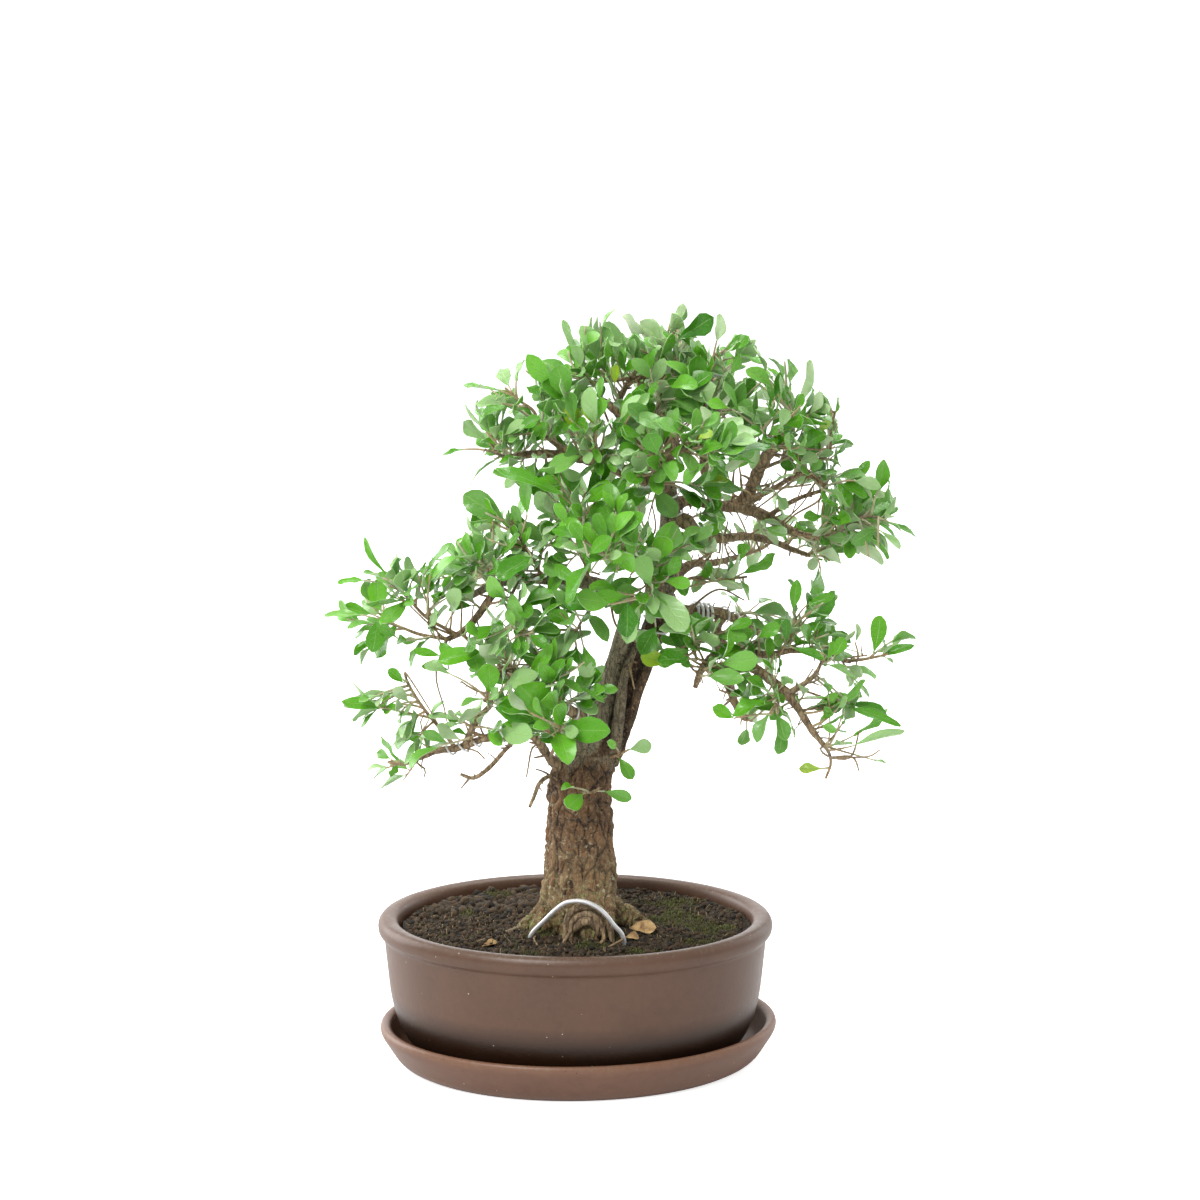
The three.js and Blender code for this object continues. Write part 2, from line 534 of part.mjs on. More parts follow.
// The soil fills the pot and swells gently on top
function makeSoil() {
  const wallRadius = halfLength - 14.1;
  const topRings = [wallRadius - 0.4, 80, 46];
  const geometry = ovalTurned([
    [0, 15 + fitGap], [halfLength - 27.5, 15 + fitGap], [halfLength - 17.5, 30.2],
    ...topRings.map((radius) => [radius, soilLevel]), [0, soilLevel],
  ]);
  const place = geometry.attributes.position;
  for (let i = 0; i < place.count; i += 1) {
    if (place.getZ(i) > soilLevel - 0.5) {
      place.setZ(i, soilHeight(place.getX(i), place.getY(i)));
    }
  }
  return toSolid(geometry);
}

const lines = { trunk: makeLine(trunkLine) };
for (const [name, points] of Object.entries(branches)) {
  lines[name] = makeLine(points);
}

function rodSides(radius) {
  if (radius > 11) return 8;
  return radius > 5 ? 6 : 4;
}

const wired = Object.values(windings).map(({ branch }) => branch);

// Trunk, roots and branches are one piece of wood. Made again a little fatter, it gives the
// seats for what stands against it.
function makeWood(extra) {
  const pieces = [rod(lines.trunk, 10, extra, 0.035, 0.7)];
  for (const root of rootLines) {
    pieces.push(rod(makeLine(root), 5, extra, 0.04));
  }
  for (const [name, points] of Object.entries(branches)) {
    const startRadius = points[0][3];
    const detail = wired.includes(name) ? 1 : 0.6;
    pieces.push(rod(lines[name], rodSides(startRadius), extra, startRadius > 5 ? 0.03 : 0, detail));
  }
  return join(pieces);
}

// A wire wound round a branch, standing just off its bark
function winding({ branch, from, to, turns }, thickness) {
  const { curve, radiusAt } = lines[branch];
  const stepsPerTurn = 6;
  const steps = turns * stepsPerTurn;
  const frames = curve.computeFrenetFrames(100, false);
  const path = [];
  for (let i = 0; i <= steps; i += 1) {
    const share = THREE.MathUtils.lerp(from, to, i / steps);
    const frame = Math.round(share * 100);
    const turn = (i / stepsPerTurn) * 2 * Math.PI;
    const reach = radiusAt(share) * 1.06 + thickness * 0.5 + windingSlack;
    const spot = curve.getPointAt(share);
    spot.addScaledVector(frames.normals[frame], reach * Math.cos(turn));
    spot.addScaledVector(frames.binormals[frame], reach * Math.sin(turn));
    path.push([spot.x, spot.y, spot.z, thickness / 2]);
  }
  return makeLine(path);
}

// How wide a leaf is at each share of its length: a spoon shape with a blunt tip
function leafSwell(along) {
  return Math.max(leafRootWidth, Math.sin(0.86 * Math.PI * along ** 1.5));
}

function bladeSteps(length) {
  return length < largeLeaf ? 2 : 3;
}

// The share of a blade's length at one of its steps, closer together where it is widest
function bladeShare(step, steps) {
  return (step / steps) ** 0.75;
}

// A leaf's blade by itself, arching down towards its tip
function leafBlade(length, width, arch, thickness) {
  const steps = bladeSteps(length);
  const geometry = new THREE.BoxGeometry(1, 1, 1, 1, steps, 1);
  const place = geometry.attributes.position;
  for (let i = 0; i < place.count; i += 1) {
    const along = bladeShare(Math.round((place.getY(i) + 0.5) * steps), steps);
    place.setXYZ(
      i,
      place.getX(i) * width * leafSwell(along),
      along * length,
      place.getZ(i) * thickness - arch * length * along * along,
    );
  }
  return geometry;
}

// A shoot and the leaf that ends it, as one closed strip: square as a twig, then flat as a blade
function leafyShoot({ curve, until, length }, frame, lean, width, arch) {
  const twigSteps = curve.getLength() * until > longShoot ? 2 : 1;
  const steps = twigSteps + bladeSteps(length);
  const matrix = leafMatrix(frame, lean);
  const geometry = new THREE.BoxGeometry(1, 1, 1, 1, steps, 1);
  const place = geometry.attributes.position;
  const vertex = new THREE.Vector3();
  for (let i = 0; i < place.count; i += 1) {
    vertex.fromBufferAttribute(place, i);
    const ring = Math.round((vertex.y + 0.5) * steps);
    if (ring < twigSteps) {
      const share = (ring / twigSteps) * until;
      const { side, facing } = shootFrame(curve, share, frame.facing);
      const size = 2 * shootRadius * (ring === 0 ? shootRootShare : 1);
      const corner = side.multiplyScalar(vertex.x * size).addScaledVector(facing, vertex.z * size);
      vertex.copy(curve.getPoint(share)).add(corner);
    } else {
      const along = bladeShare(ring - twigSteps, bladeSteps(length));
      const thickness = ring === twigSteps ? 2 * shootRadius : leafThickness;
      const breadth = ring === twigSteps ? 2 * shootRadius : width * leafSwell(along);
      vertex.set(
        vertex.x * breadth,
        along * length,
        vertex.z * thickness - arch * length * along * along,
      );
      vertex.applyMatrix4(matrix);
    }
    place.setXYZ(i, vertex.x, vertex.y, vertex.z);
  }
  return toSolid(geometry);
}

// The sideways and upward directions of a shoot's section, turned as its leaf is
function shootFrame(curve, share, leafFacing) {
  const tangent = curve.getTangent(share);
  const facing = leafFacing.clone().addScaledVector(tangent, -leafFacing.dot(tangent)).normalize();
  return { side: new THREE.Vector3().crossVectors(tangent, facing), facing };
}

// The ways a leaf may lean to stand clear of its neighbours: roll, lift and swing in radians
const leans = [
  [0, 0, 0], [0.4, 0, 0], [-0.4, 0, 0], [0, 0.3, 0], [0, -0.3, 0], [0, 0, 0.35], [0, 0, -0.35],
  [0.5, 0.3, 0.3], [-0.5, 0.3, -0.3], [0.5, -0.3, -0.3], [-0.5, -0.3, 0.3], [0.9, 0, 0],
  [-0.9, 0, 0], [0, 0.6, 0], [0, -0.6, 0], [0, 0.3, 0.7], [0, 0.3, -0.7],
];

// Where a leaf sits: its root, the way it points and the way its upper face looks
function leafFrame(root, tip, draws) {
  const pointing = tip.clone().sub(root).normalize();
  const outward = new THREE.Vector3(tip.x - crownAxis[0], tip.y - crownAxis[1], 0).normalize();
  const facing = new THREE.Vector3(...draws.map((value) => value - 0.5)).multiplyScalar(0.9);
  facing.addScaledVector(outward, 0.55);
  facing.z += 0.6;
  facing.addScaledVector(pointing, -facing.dot(pointing)).normalize();
  return { root, pointing, facing };
}

function leafMatrix({ root, pointing, facing }, [roll, lift, swing]) {
  const side = new THREE.Vector3().crossVectors(pointing, facing);
  const basis = new THREE.Matrix4().makeBasis(side, pointing, facing);
  basis.multiply(new THREE.Matrix4().makeRotationZ(swing));
  basis.multiply(new THREE.Matrix4().makeRotationX(lift));
  basis.multiply(new THREE.Matrix4().makeRotationY(roll));
  return new THREE.Matrix4().setPosition(root).multiply(basis);
}

// What stands in the way: solids with the ball round each, and the spray that owns it
const obstacles = [];

function addObstacle(solid, owner, isLeaf = false) {
  const { min, max } = solid.boundingBox();
  const centre = new THREE.Vector3().fromArray(min).add(new THREE.Vector3().fromArray(max));
  centre.multiplyScalar(0.5);
  const reach = centre.distanceTo(new THREE.Vector3().fromArray(max));
  obstacles.push({ solid, owner, isLeaf, ball: new THREE.Sphere(centre, reach) });
}

function meetsAny(solid, isIgnored) {
  const { min, max } = solid.boundingBox();
  const box = new THREE.Box3();
  box.min.fromArray(min);
  box.max.fromArray(max);
  return obstacles.some((other) => (
    !isIgnored(other) && other.ball.intersectsBox(box) && !solid.intersect(other.solid).isEmpty()
  ));
}

function nearestShare(curve, point) {
  let best = 0;
  for (let i = 0; i <= 20; i += 1) {
    const reach = curve.getPointAt(i / 20).distanceTo(point);
    if (reach < curve.getPointAt(best).distanceTo(point)) best = i / 20;
  }
  return best;
}

// The shares of a stem at which its shoots leave it: each a little below the point nearest to its
// leaf's tip, and no two closer than their own thickness
function shootStarts(stem, tips) {
  const length = stem.getLength();
  const wanted = tips.map((tip, i) => {
    const nearest = nearestShare(stem, tip);
    const gap = stem.getPointAt(nearest).distanceTo(tip);
    return { i, share: nearest - 0.35 * gap / length };
  });
  for (const start of wanted) start.share = THREE.MathUtils.clamp(start.share, 0.25, shootSpan[1]);
  wanted.sort((a, b) => b.share - a.share || a.i - b.i);
  const spacing = Math.min(shootSpacing, 0.7 * length / tips.length) / length;
  const starts = [];
  let ceiling = shootSpan[1];
  for (const { i, share } of wanted) {
    starts[i] = Math.max(Math.min(share, ceiling), shootSpan[0]);
    ceiling = starts[i] - spacing;
  }
  return starts;
}

// A point on the straight faces of a rod's ring-by-ring centre line
function rodPoint({ curve, steps }, share) {
  const low = Math.min(Math.floor(share * steps), steps - 1);
  const from = curve.getPointAt(low / steps);
  return from.lerp(curve.getPointAt((low + 1) / steps), share * steps - low);
}

// A shoot leaves the stem and curves up to its leaf's tip
function shootCurve(stem, share, tip, lift) {
  const start = rodPoint(stem, share);
  const reach = start.distanceTo(tip);
  const middle = start.clone().addScaledVector(stem.curve.getTangentAt(share), 0.3 * reach);
  middle.lerp(start.clone().lerp(tip, 0.5), 0.5);
  middle.z += (shootRise + lift) * reach;
  return new THREE.QuadraticBezierCurve3(start, middle, tip);
}

// The share of a shoot at which its leaf begins
function leafStart(curve, length) {
  const tip = curve.getPoint(1);
  let share = 1;
  while (share > 0 && curve.getPoint(share).distanceTo(tip) < length) share -= 0.02;
  return Math.max(share, 0);
}

// The twig of a shoot between two shares of it, as a space to be kept clear
function twigSpace(curve, from, until) {
  const points = [0, 0.5, 1].map((share) => {
    const spot = curve.getPoint(THREE.MathUtils.lerp(from, until, share));
    return [spot.x, spot.y, spot.z, 1.3 * shootRadius];
  });
  return rod(makeLine(points), 4);
}

const wood = makeWood(0);
const woodSeat = makeWood(fitGap);
addObstacle(woodSeat, 'wood');

const wires = {};
for (const [name, settings] of Object.entries(windings)) {
  const line = winding(settings, wireThickness);
  wires[name] = rod(line, 3);
  addObstacle(rod(line, 3, fitGap), name);
}
const baseWire = makeLine(baseWireLine.map((point) => [...point, baseWireThickness / 2]));
wires.wireBase = rod(baseWire, 5);

// Twigs first, so that every leaf can be set clear of all of them
const twigLifts = [0, 0.15, -0.15, 0.3, -0.3];
for (const spray of sprays) {
  const { curve } = lines[spray.limb];
  const root = curve.getPointAt(Math.min(spray.at, shootSpan[1]));
  const stemPoints = [root.toArray(), ...spray.stem];
  const last = stemPoints.length - 1;
  const stem = makeLine(stemPoints.map((point, i) => (
    [...point, THREE.MathUtils.lerp(stemRadius, shootRadius + 0.15, i / last)]
  )));
  spray.parts = [rod(stem, 4)];
  addObstacle(spray.parts[0], spray.name);
  spray.shoots = [];
  const tips = spray.leaves.map(([x, y, z]) => new THREE.Vector3(x, y, z));
  const starts = shootStarts(stem.curve, tips);
  for (const [i, [, , , length, slim = 1]] of spray.leaves.entries()) {
    const choices = twigLifts.map((lift) => {
      const curve = shootCurve(stem, starts[i], tips[i], lift);
      return { curve, until: leafStart(curve, length), length, slim };
    });
    const isOwn = ({ owner }) => owner === spray.name;
    const shoot = choices.find(({ curve, until }) => (
      until < 0.1 || !meetsAny(twigSpace(curve, 0.4 * until, until), isOwn)
    ));
    spray.shoots.push(shoot);
    if (shoot && shoot.until >= 0.1) addObstacle(twigSpace(shoot.curve, 0, shoot.until), spray.name);
  }
}

// Then the leaves, each in the first lean that is clear of everything placed before it
sprays.forEach((spray, index) => {
  const draw = seededDraw(firstSeed + index);
  for (const shoot of spray.shoots) {
    const draws = [draw(), draw(), draw(), draw(), draw()];
    if (!shoot) continue;
    const { curve, until, length, slim } = shoot;
    const width = length * slim * THREE.MathUtils.lerp(0.5, 0.66, draws[0]);
    const arch = THREE.MathUtils.lerp(0.04, 0.16, draws[1]);
    const frame = leafFrame(curve.getPoint(until), curve.getPoint(1), draws.slice(2));
    const guard = leafBlade(length + fitGap, width + 2 * fitGap, arch, leafThickness + 2 * fitGap);
    const lean = leans.find((option) => {
      const space = toSolid(guard.clone().applyMatrix4(leafMatrix(frame, option)));
      return !meetsAny(space, (other) => other.owner === spray.name && !other.isLeaf);
    });
    if (lean) {
      const blade = leafBlade(length, width, arch, leafThickness);
      addObstacle(toSolid(blade.applyMatrix4(leafMatrix(frame, lean))), spray.name, true);
      spray.parts.push(leafyShoot(shoot, frame, lean, width, arch));
    }
  }
});

const bonsai = new THREE.Group();

function addPiece(name, solid, color, roughness, metalness = 0) {
  const material = new THREE.MeshStandardMaterial({ color, roughness, metalness });
  const piece = new THREE.Mesh(toGeometry(solid), material);
  piece.name = name;
  bonsai.add(piece);
}

const glaze = 0x7d6254;
const bark = 0x6e5541;
const leafGreen = 0x4f9a35;
const dryLeaf = 0xc79a62;
const darkSoil = 0x4a4338;
const aluminium = 0xb9bcbf;
addPiece('saucer', makeSaucer(), glaze, 0.4);
addPiece('pot', makePot(), glaze, 0.4);

let soil = makeSoil().subtract(woodSeat).subtract(rod(baseWire, 5, fitGap));
fallenLeaves.forEach(([x, y, heading, length, width], index) => {
  const settle = new THREE.Matrix4().makeRotationZ(THREE.MathUtils.degToRad(heading - 90));
  const level = Math.max(...[0, 0.5, 1].map((share) => {
    const along = THREE.MathUtils.degToRad(heading);
    return soilHeight(x + share * length * Math.cos(along), y + share * length * Math.sin(along));
  }));
  settle.setPosition(x, y, level + 0.6);
  const leaf = toSolid(leafBlade(length, width, -0.12, 0.9).applyMatrix4(settle));
  const seat = toSolid(leafBlade(length + 0.6, width + 0.6, -0.12, 1.5).applyMatrix4(settle));
  soil = soil.subtract(seat);
  addPiece(`fallenLeaf${index + 1}`, leaf, dryLeaf, 0.8);
});
addPiece('soil', mainBody(soil), darkSoil, 0.95);
addPiece('wood', wood, bark, 0.85);
for (const [name, wire] of Object.entries(wires)) {
  addPiece(name, wire, aluminium, 0.35, 1);
}
for (const spray of sprays) {
  addPiece(spray.name, mainBody(join(spray.parts).subtract(woodSeat)), leafGreen, 0.45);
}

export default bonsai;
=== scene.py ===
import bisect
import math

import bmesh
import bpy
import numpy as np
from mathutils import Matrix, Vector, noise
from mathutils.kdtree import KDTree


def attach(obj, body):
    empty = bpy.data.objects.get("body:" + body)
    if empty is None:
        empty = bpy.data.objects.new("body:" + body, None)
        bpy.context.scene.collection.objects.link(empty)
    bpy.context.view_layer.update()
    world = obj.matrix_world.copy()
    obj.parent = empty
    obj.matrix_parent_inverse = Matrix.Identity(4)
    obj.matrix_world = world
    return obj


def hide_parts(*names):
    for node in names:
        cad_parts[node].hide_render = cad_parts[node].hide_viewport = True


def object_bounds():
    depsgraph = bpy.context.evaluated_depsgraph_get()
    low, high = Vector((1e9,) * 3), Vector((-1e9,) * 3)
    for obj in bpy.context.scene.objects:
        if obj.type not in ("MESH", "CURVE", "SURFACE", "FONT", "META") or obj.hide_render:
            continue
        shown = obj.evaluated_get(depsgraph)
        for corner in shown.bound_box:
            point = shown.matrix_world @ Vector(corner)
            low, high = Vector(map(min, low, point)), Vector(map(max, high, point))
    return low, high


# A thorny olive bonsai in its oval glazed pot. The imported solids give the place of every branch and
# leaf. The tables below are in millimetres, as the solids are, and the meshes in metres.

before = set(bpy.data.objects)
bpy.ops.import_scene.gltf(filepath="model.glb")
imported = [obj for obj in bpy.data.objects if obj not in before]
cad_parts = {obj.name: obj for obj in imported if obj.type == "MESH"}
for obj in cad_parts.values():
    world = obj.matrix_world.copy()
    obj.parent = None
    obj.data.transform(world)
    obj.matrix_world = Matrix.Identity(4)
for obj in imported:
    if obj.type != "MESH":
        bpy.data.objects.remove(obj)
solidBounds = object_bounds()
millimetre = 0.001
fullTurn = 2 * math.pi
noise.seed_set(17)
# Seeds: the solids' leaves, the posed leaves, extra leaves, thickets, twigs, looks, crumbs, moss,
# fallen leaves and spurs
seeds = {"solid": 100, "posed": 440, "extra": 500, "thicket": 700, "fill": 900, "dress": 1300,
         "crumbs": 41, "moss": 43, "fallen": 61, "spurs": 71}
print("frame loaded:", len(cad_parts), "solids")


# Short ways to add the usual nodes to the tree of one material, group or world
class Nodes:
    def __init__(self, tree):
        self.tree = tree
        self.at = None

    # A value, or another node's socket, for an input
    def fill(self, socket, value):
        if isinstance(value, bpy.types.NodeSocket):
            self.tree.links.new(value, socket)
        else:
            socket.default_value = value

    def add(self, kind, inputs, **settings):
        made = self.tree.nodes.new("ShaderNode" + kind)
        for setting, value in settings.items():
            setattr(made, setting, value)
        for socket, value in inputs.items():
            self.fill(made.inputs[socket], value)
        return made.outputs

    def point(self):
        self.at = self.at or self.add("TexCoord", {})["Object"]
        return self.at

    # Noise whose features measure about a size in millimetres
    def noise(self, size, detail=3.0, rough=0.55):
        return self.add("TexNoise", {"Vector": self.point(), "Scale": 1000 / size, "Detail": detail,
                                     "Roughness": rough})["Fac"]

    def cells(self, size, output="Distance"):
        return self.add("TexVoronoi", {"Vector": self.point(), "Scale": 1000 / size})[output]

    # A value spread from between low and high to between 0 and 1, or the other way round
    def spread(self, value, low, high, first=0.0, last=1.0):
        return self.add("MapRange", {"Value": value, "From Min": low, "From Max": high,
                                     "To Min": first, "To Max": last})["Result"]

    def combine(self, operation, first, second=0.5):
        return self.add("Math", {0: first, 1: second}, operation=operation)[0]

    def times(self, first, second):
        return self.combine("MULTIPLY", first, second)

    def plus(self, first, second):
        return self.combine("ADD", first, second)

    def scaled(self, vector, factor):
        return self.add("VectorMath", {0: vector, "Scale": factor}, operation="SCALE")[0]

    def blend(self, share, first, second):
        made = self.tree.nodes.new("ShaderNodeMix")
        made.data_type = "RGBA"
        sockets = {socket.identifier: socket for socket in (*made.inputs, *made.outputs)}
        self.fill(sockets["Factor_Float"], share)
        for name, value in (("A_Color", first), ("B_Color", second)):
            self.fill(sockets[name], (*value, 1) if isinstance(value, tuple) else value)
        return sockets["Result_Color"]

    # A colour with more colours over it, each where its share says
    def layers(self, colour, *coats):
        for share, over in coats:
            colour = self.blend(share, colour, over)
        return colour

    # A bump of a reach in millimetres
    def bump(self, height, strength, reach):
        return self.add("Bump", {"Height": height, "Strength": strength,
                                 "Distance": reach * millimetre})["Normal"]

    def channels(self, attribute):
        tone = self.add("Attribute", {}, attribute_name=attribute)
        return self.add("SeparateColor", {"Color": tone["Color"]}), tone["Alpha"]

    def heights(self):
        return self.add("SeparateXYZ", {"Vector": self.point()})["Z"]

    def group(self, group, inputs):
        made = self.tree.nodes.new("ShaderNodeGroup")
        made.node_tree = group
        for socket, value in inputs.items():
            self.fill(made.inputs[socket], value)
        return made.outputs

    def bark(self, size):
        return self.group(barkGrain, {"Vector": self.point(), "Size": size})


# A material from what feeds its shader's sockets, and from values that are the same all over
def newMaterial(name, shade, **fixed):
    material = bpy.data.materials.new(name)
    material.use_nodes = True
    nodes = Nodes(material.node_tree)
    shader = material.node_tree.nodes["Principled BSDF"]
    for socket, value in fixed.items():
        shader.inputs[socket.replace("_", " ")].default_value = value
    for socket, value in shade(nodes).items():
        nodes.fill(shader.inputs[socket], value)
    return material


# A shader group with its inputs, and a function that says what it puts out
def newGroup(name, inputs, outputs, shade):
    group = bpy.data.node_groups.new(name, "ShaderNodeTree")
    for label, kind, value in inputs:
        socket = group.interface.new_socket(label, in_out="INPUT", socket_type="NodeSocket" + kind)
        if value is not None:
            socket.default_value = value
    for label in outputs:
        group.interface.new_socket(label, in_out="OUTPUT", socket_type="NodeSocketFloat")
    given = group.nodes.new("NodeGroupInput").outputs
    out = group.nodes.new("NodeGroupOutput").inputs
    for label, value in zip(outputs, shade(Nodes(group), given)):
        group.links.new(value, out[label])
    return group


# Midrib, side veins and fine dots from a leaf's own UV map
def shadeVeins(nodes, given):
    parts = nodes.add("SeparateXYZ", {"Vector": nodes.add("TexCoord", {})["UV"]})
    off = nodes.combine("ABSOLUTE", nodes.combine("SUBTRACT", parts["X"], 0.5))
    slant = nodes.combine("SUBTRACT", parts["Y"], nodes.times(off, 0.45))
    wave = nodes.combine("FRACT", nodes.times(slant, given["Vein Count"]))
    ridge = nodes.combine("ABSOLUTE", nodes.combine("SUBTRACT", wave, 0.5))
    fading = nodes.spread(off, 0.1, 0.46, 1, 0)
    return (nodes.spread(off, 0.01, 0.035, 1, 0),
            nodes.times(nodes.spread(ridge, 0.03, 0.12, 1, 0), fading),
            nodes.spread(nodes.cells(0.9), 0.16, 0.28, 1, 0))


# Fibres and small cracks of bark
def shadeGrain(nodes, given):
    sized = nodes.add("VectorMath", {0: nodes.scaled(given["Vector"], 1000.0), 1: (1, 1, 0.35)},
                      operation="MULTIPLY")[0]
    over = nodes.scaled(sized, nodes.combine("DIVIDE", 1.0, given["Size"]))
    fibre = nodes.add("TexNoise", {"Vector": over, "Scale": 1.6, "Detail": 5.0, "Roughness": 0.6,
                                   "Distortion": 0.6})["Fac"]
    cells = nodes.add("TexVoronoi", {"Vector": over, "Scale": 0.9}, feature="DISTANCE_TO_EDGE")
    crack = nodes.spread(cells["Distance"], 0.02, 0.16, 1, 0)
    return fibre, crack, nodes.combine("SUBTRACT", fibre, nodes.times(crack, 0.6))


# Cloudy tone, pits, pale specks and the slight orange peel of a fired glaze
def shadeFinish(nodes, given):
    nodes.at = given["Vector"]
    fine = nodes.times(nodes.noise(5, 5.0, 0.65), 0.4)
    cloud = nodes.plus(nodes.times(nodes.noise(38, 4.0), 0.6), fine)
    rare = nodes.spread(nodes.noise(16, 1.0), 0.5, 0.62)
    pits = nodes.times(nodes.spread(nodes.cells(5.5), 0.05, 0.09, 1, 0), rare)
    peel = nodes.plus(nodes.noise(1.6, 2.0), nodes.times(nodes.noise(12, 2.0), 1.4))
    nodes.at = nodes.add("VectorMath", {0: given["Vector"], 1: (0.31, 0.17, 0.23)}, operation="ADD")[0]
    sparse = nodes.spread(nodes.noise(21, 1.0), 0.54, 0.64)
    specks = nodes.times(nodes.spread(nodes.cells(6.5), 0.045, 0.08, 1, 0), sparse)
    return nodes.spread(cloud, 0.35, 0.65), pits, specks, nodes.combine("SUBTRACT", peel, pits)


leafVeins = newGroup("leafVeins", [("Vein Count", "Float", 7.0)], ("Midrib", "Veins", "Dots"), shadeVeins)
barkGrain = newGroup("barkGrain", [("Vector", "Vector", None), ("Size", "Float", 3.0)],
                     ("Fibre", "Crack", "Height"), shadeGrain)
glazeFinish = newGroup("glazeFinish", [("Vector", "Vector", None)], ("Cloud", "Pits", "Specks", "Height"),
                       shadeFinish)


leafTints = {
    "dark": (0.008, 0.105, 0.001), "bright": (0.165, 0.49, 0.022), "mottled": (0.08, 0.32, 0.012),
    # The pale downy green is partly a painted sheen
    "downyAndSheen": (0.36, 0.52, 0.26), "yellow": (0.36, 0.5, 0.02), "veins": (0.16, 0.42, 0.06),
    "midrib": (0.3, 0.5, 0.14), "dots": (0.42, 0.56, 0.34), "under": (0.32, 0.46, 0.22),
    # The saturated green of low-tint undersides is partly painted shade and light through the leaf
    "paleUnder": (0.53, 0.64, 0.43), "paintedShadeUnder": (0.1, 0.32, 0.022), "midribUnder": (0.5, 0.56, 0.36),
}


def shadeLeaf(nodes):
    parts, bloom = nodes.channels("leafTone")
    tint, upper, age = parts["Red"], parts["Green"], parts["Blue"]
    veins = nodes.group(leafVeins, {"Vein Count": 7.0})
    mottle = nodes.spread(nodes.noise(14, 3.0), 0.3, 0.7)
    over = nodes.layers(
        nodes.blend(tint, leafTints["dark"], leafTints["bright"]),
        # Pale downy leaves, partly a painted sheen
        (nodes.times(mottle, 0.25), leafTints["mottled"]), (nodes.times(bloom, 0.68), leafTints["downyAndSheen"]),
        (nodes.spread(age, 0.5, 1, 0, 0.7), leafTints["yellow"]),
        (nodes.times(veins["Veins"], 0.2), leafTints["veins"]),
        (nodes.times(veins["Midrib"], 0.38), leafTints["midrib"]),
        (nodes.times(veins["Dots"], 0.24), leafTints["dots"]))
    under = nodes.layers(
        nodes.blend(mottle, leafTints["under"], leafTints["paleUnder"]),
        # Low-tint leaves get saturated undersides, partly painted shade and light through the leaf
        (nodes.spread(tint, 0.6, 0.35, 0, 0.8), leafTints["paintedShadeUnder"]),
        (nodes.times(veins["Midrib"], 0.5), leafTints["midribUnder"]))
    height = nodes.plus(nodes.times(veins["Veins"], -0.5), nodes.times(veins["Midrib"], -0.9))
    gloss = nodes.plus(upper, nodes.times(mottle, -0.3))
    return {"Base Color": nodes.blend(upper, under, over),
            "Roughness": nodes.spread(gloss, 0, 1, 0.5, 0.22),
            "Normal": nodes.bump(nodes.plus(height, nodes.noise(3.5, 2.0)), 0.5, 0.35)}


def shadeShoot(nodes):
    young = nodes.spread(nodes.noise(24, 2.0), 0.38, 0.62)
    grain = nodes.bark(1.4)
    colour = nodes.layers(nodes.blend(young, (0.4, 0.29, 0.16), (0.5, 0.52, 0.34)),
                          (nodes.times(grain["Crack"], 0.3), (0.22, 0.14, 0.07)))
    return {"Base Color": colour, "Normal": nodes.bump(grain["Height"], 0.4, 0.3)}


def shadeTwig(nodes):
    grain = nodes.bark(2.2)
    colour = nodes.layers(
        nodes.blend(nodes.spread(grain["Fibre"], 0.35, 0.65), (0.19, 0.12, 0.062), (0.46, 0.33, 0.18)),
        (nodes.spread(nodes.noise(30, 2.0), 0.5, 0.6), (0.27, 0.21, 0.14)),
        (nodes.times(grain["Crack"], 0.4), (0.07, 0.045, 0.028)))
    return {"Base Color": colour, "Normal": nodes.bump(grain["Height"], 0.7, 0.5)}


def shadeBranch(nodes):
    grain, fine = nodes.bark(3.2), nodes.bark(1.3)
    colour = nodes.layers(
        nodes.blend(nodes.spread(grain["Fibre"], 0.36, 0.64), (0.15, 0.095, 0.052), (0.4, 0.29, 0.165)),
        (nodes.spread(nodes.noise(18, 3.0), 0.5, 0.66, 0, 0.6), (0.46, 0.36, 0.22)),
        (nodes.times(grain["Crack"], 0.6), (0.05, 0.032, 0.022)),
        (nodes.spread(nodes.cells(3.4), 0.1, 0.16, 0.7, 0), (0.36, 0.29, 0.2)))
    height = nodes.plus(grain["Height"], nodes.times(fine["Height"], 0.4))
    return {"Base Color": colour, "Normal": nodes.bump(height, 0.9, 0.9)}


trunkTints = {
    "bark": (0.095, 0.046, 0.018), "redBark": (0.235, 0.12, 0.05), "fibres": (0.3, 0.185, 0.095),
    "shade": (0.08, 0.046, 0.027), "fine": (0.06, 0.036, 0.022), "cracks": (0.02, 0.012, 0.008),
    "grey": (0.17, 0.145, 0.095), "paleGrey": (0.34, 0.3, 0.2), "lenticels": (0.03, 0.02, 0.014),
    "red": (0.035, 0.018, 0.008), "paleRed": (0.13, 0.072, 0.032), "smoothCracks": (0.035, 0.022, 0.015),
    "grooveShade": (0.014, 0.009, 0.006), "flecks": (0.37, 0.26, 0.14), "specks": (0.03, 0.018, 0.011),
    "lichen": (0.52, 0.48, 0.32), "foot": (0.4, 0.29, 0.15), "moss": (0.1, 0.1, 0.022),
    "strings": (0.33, 0.38, 0.14),
}
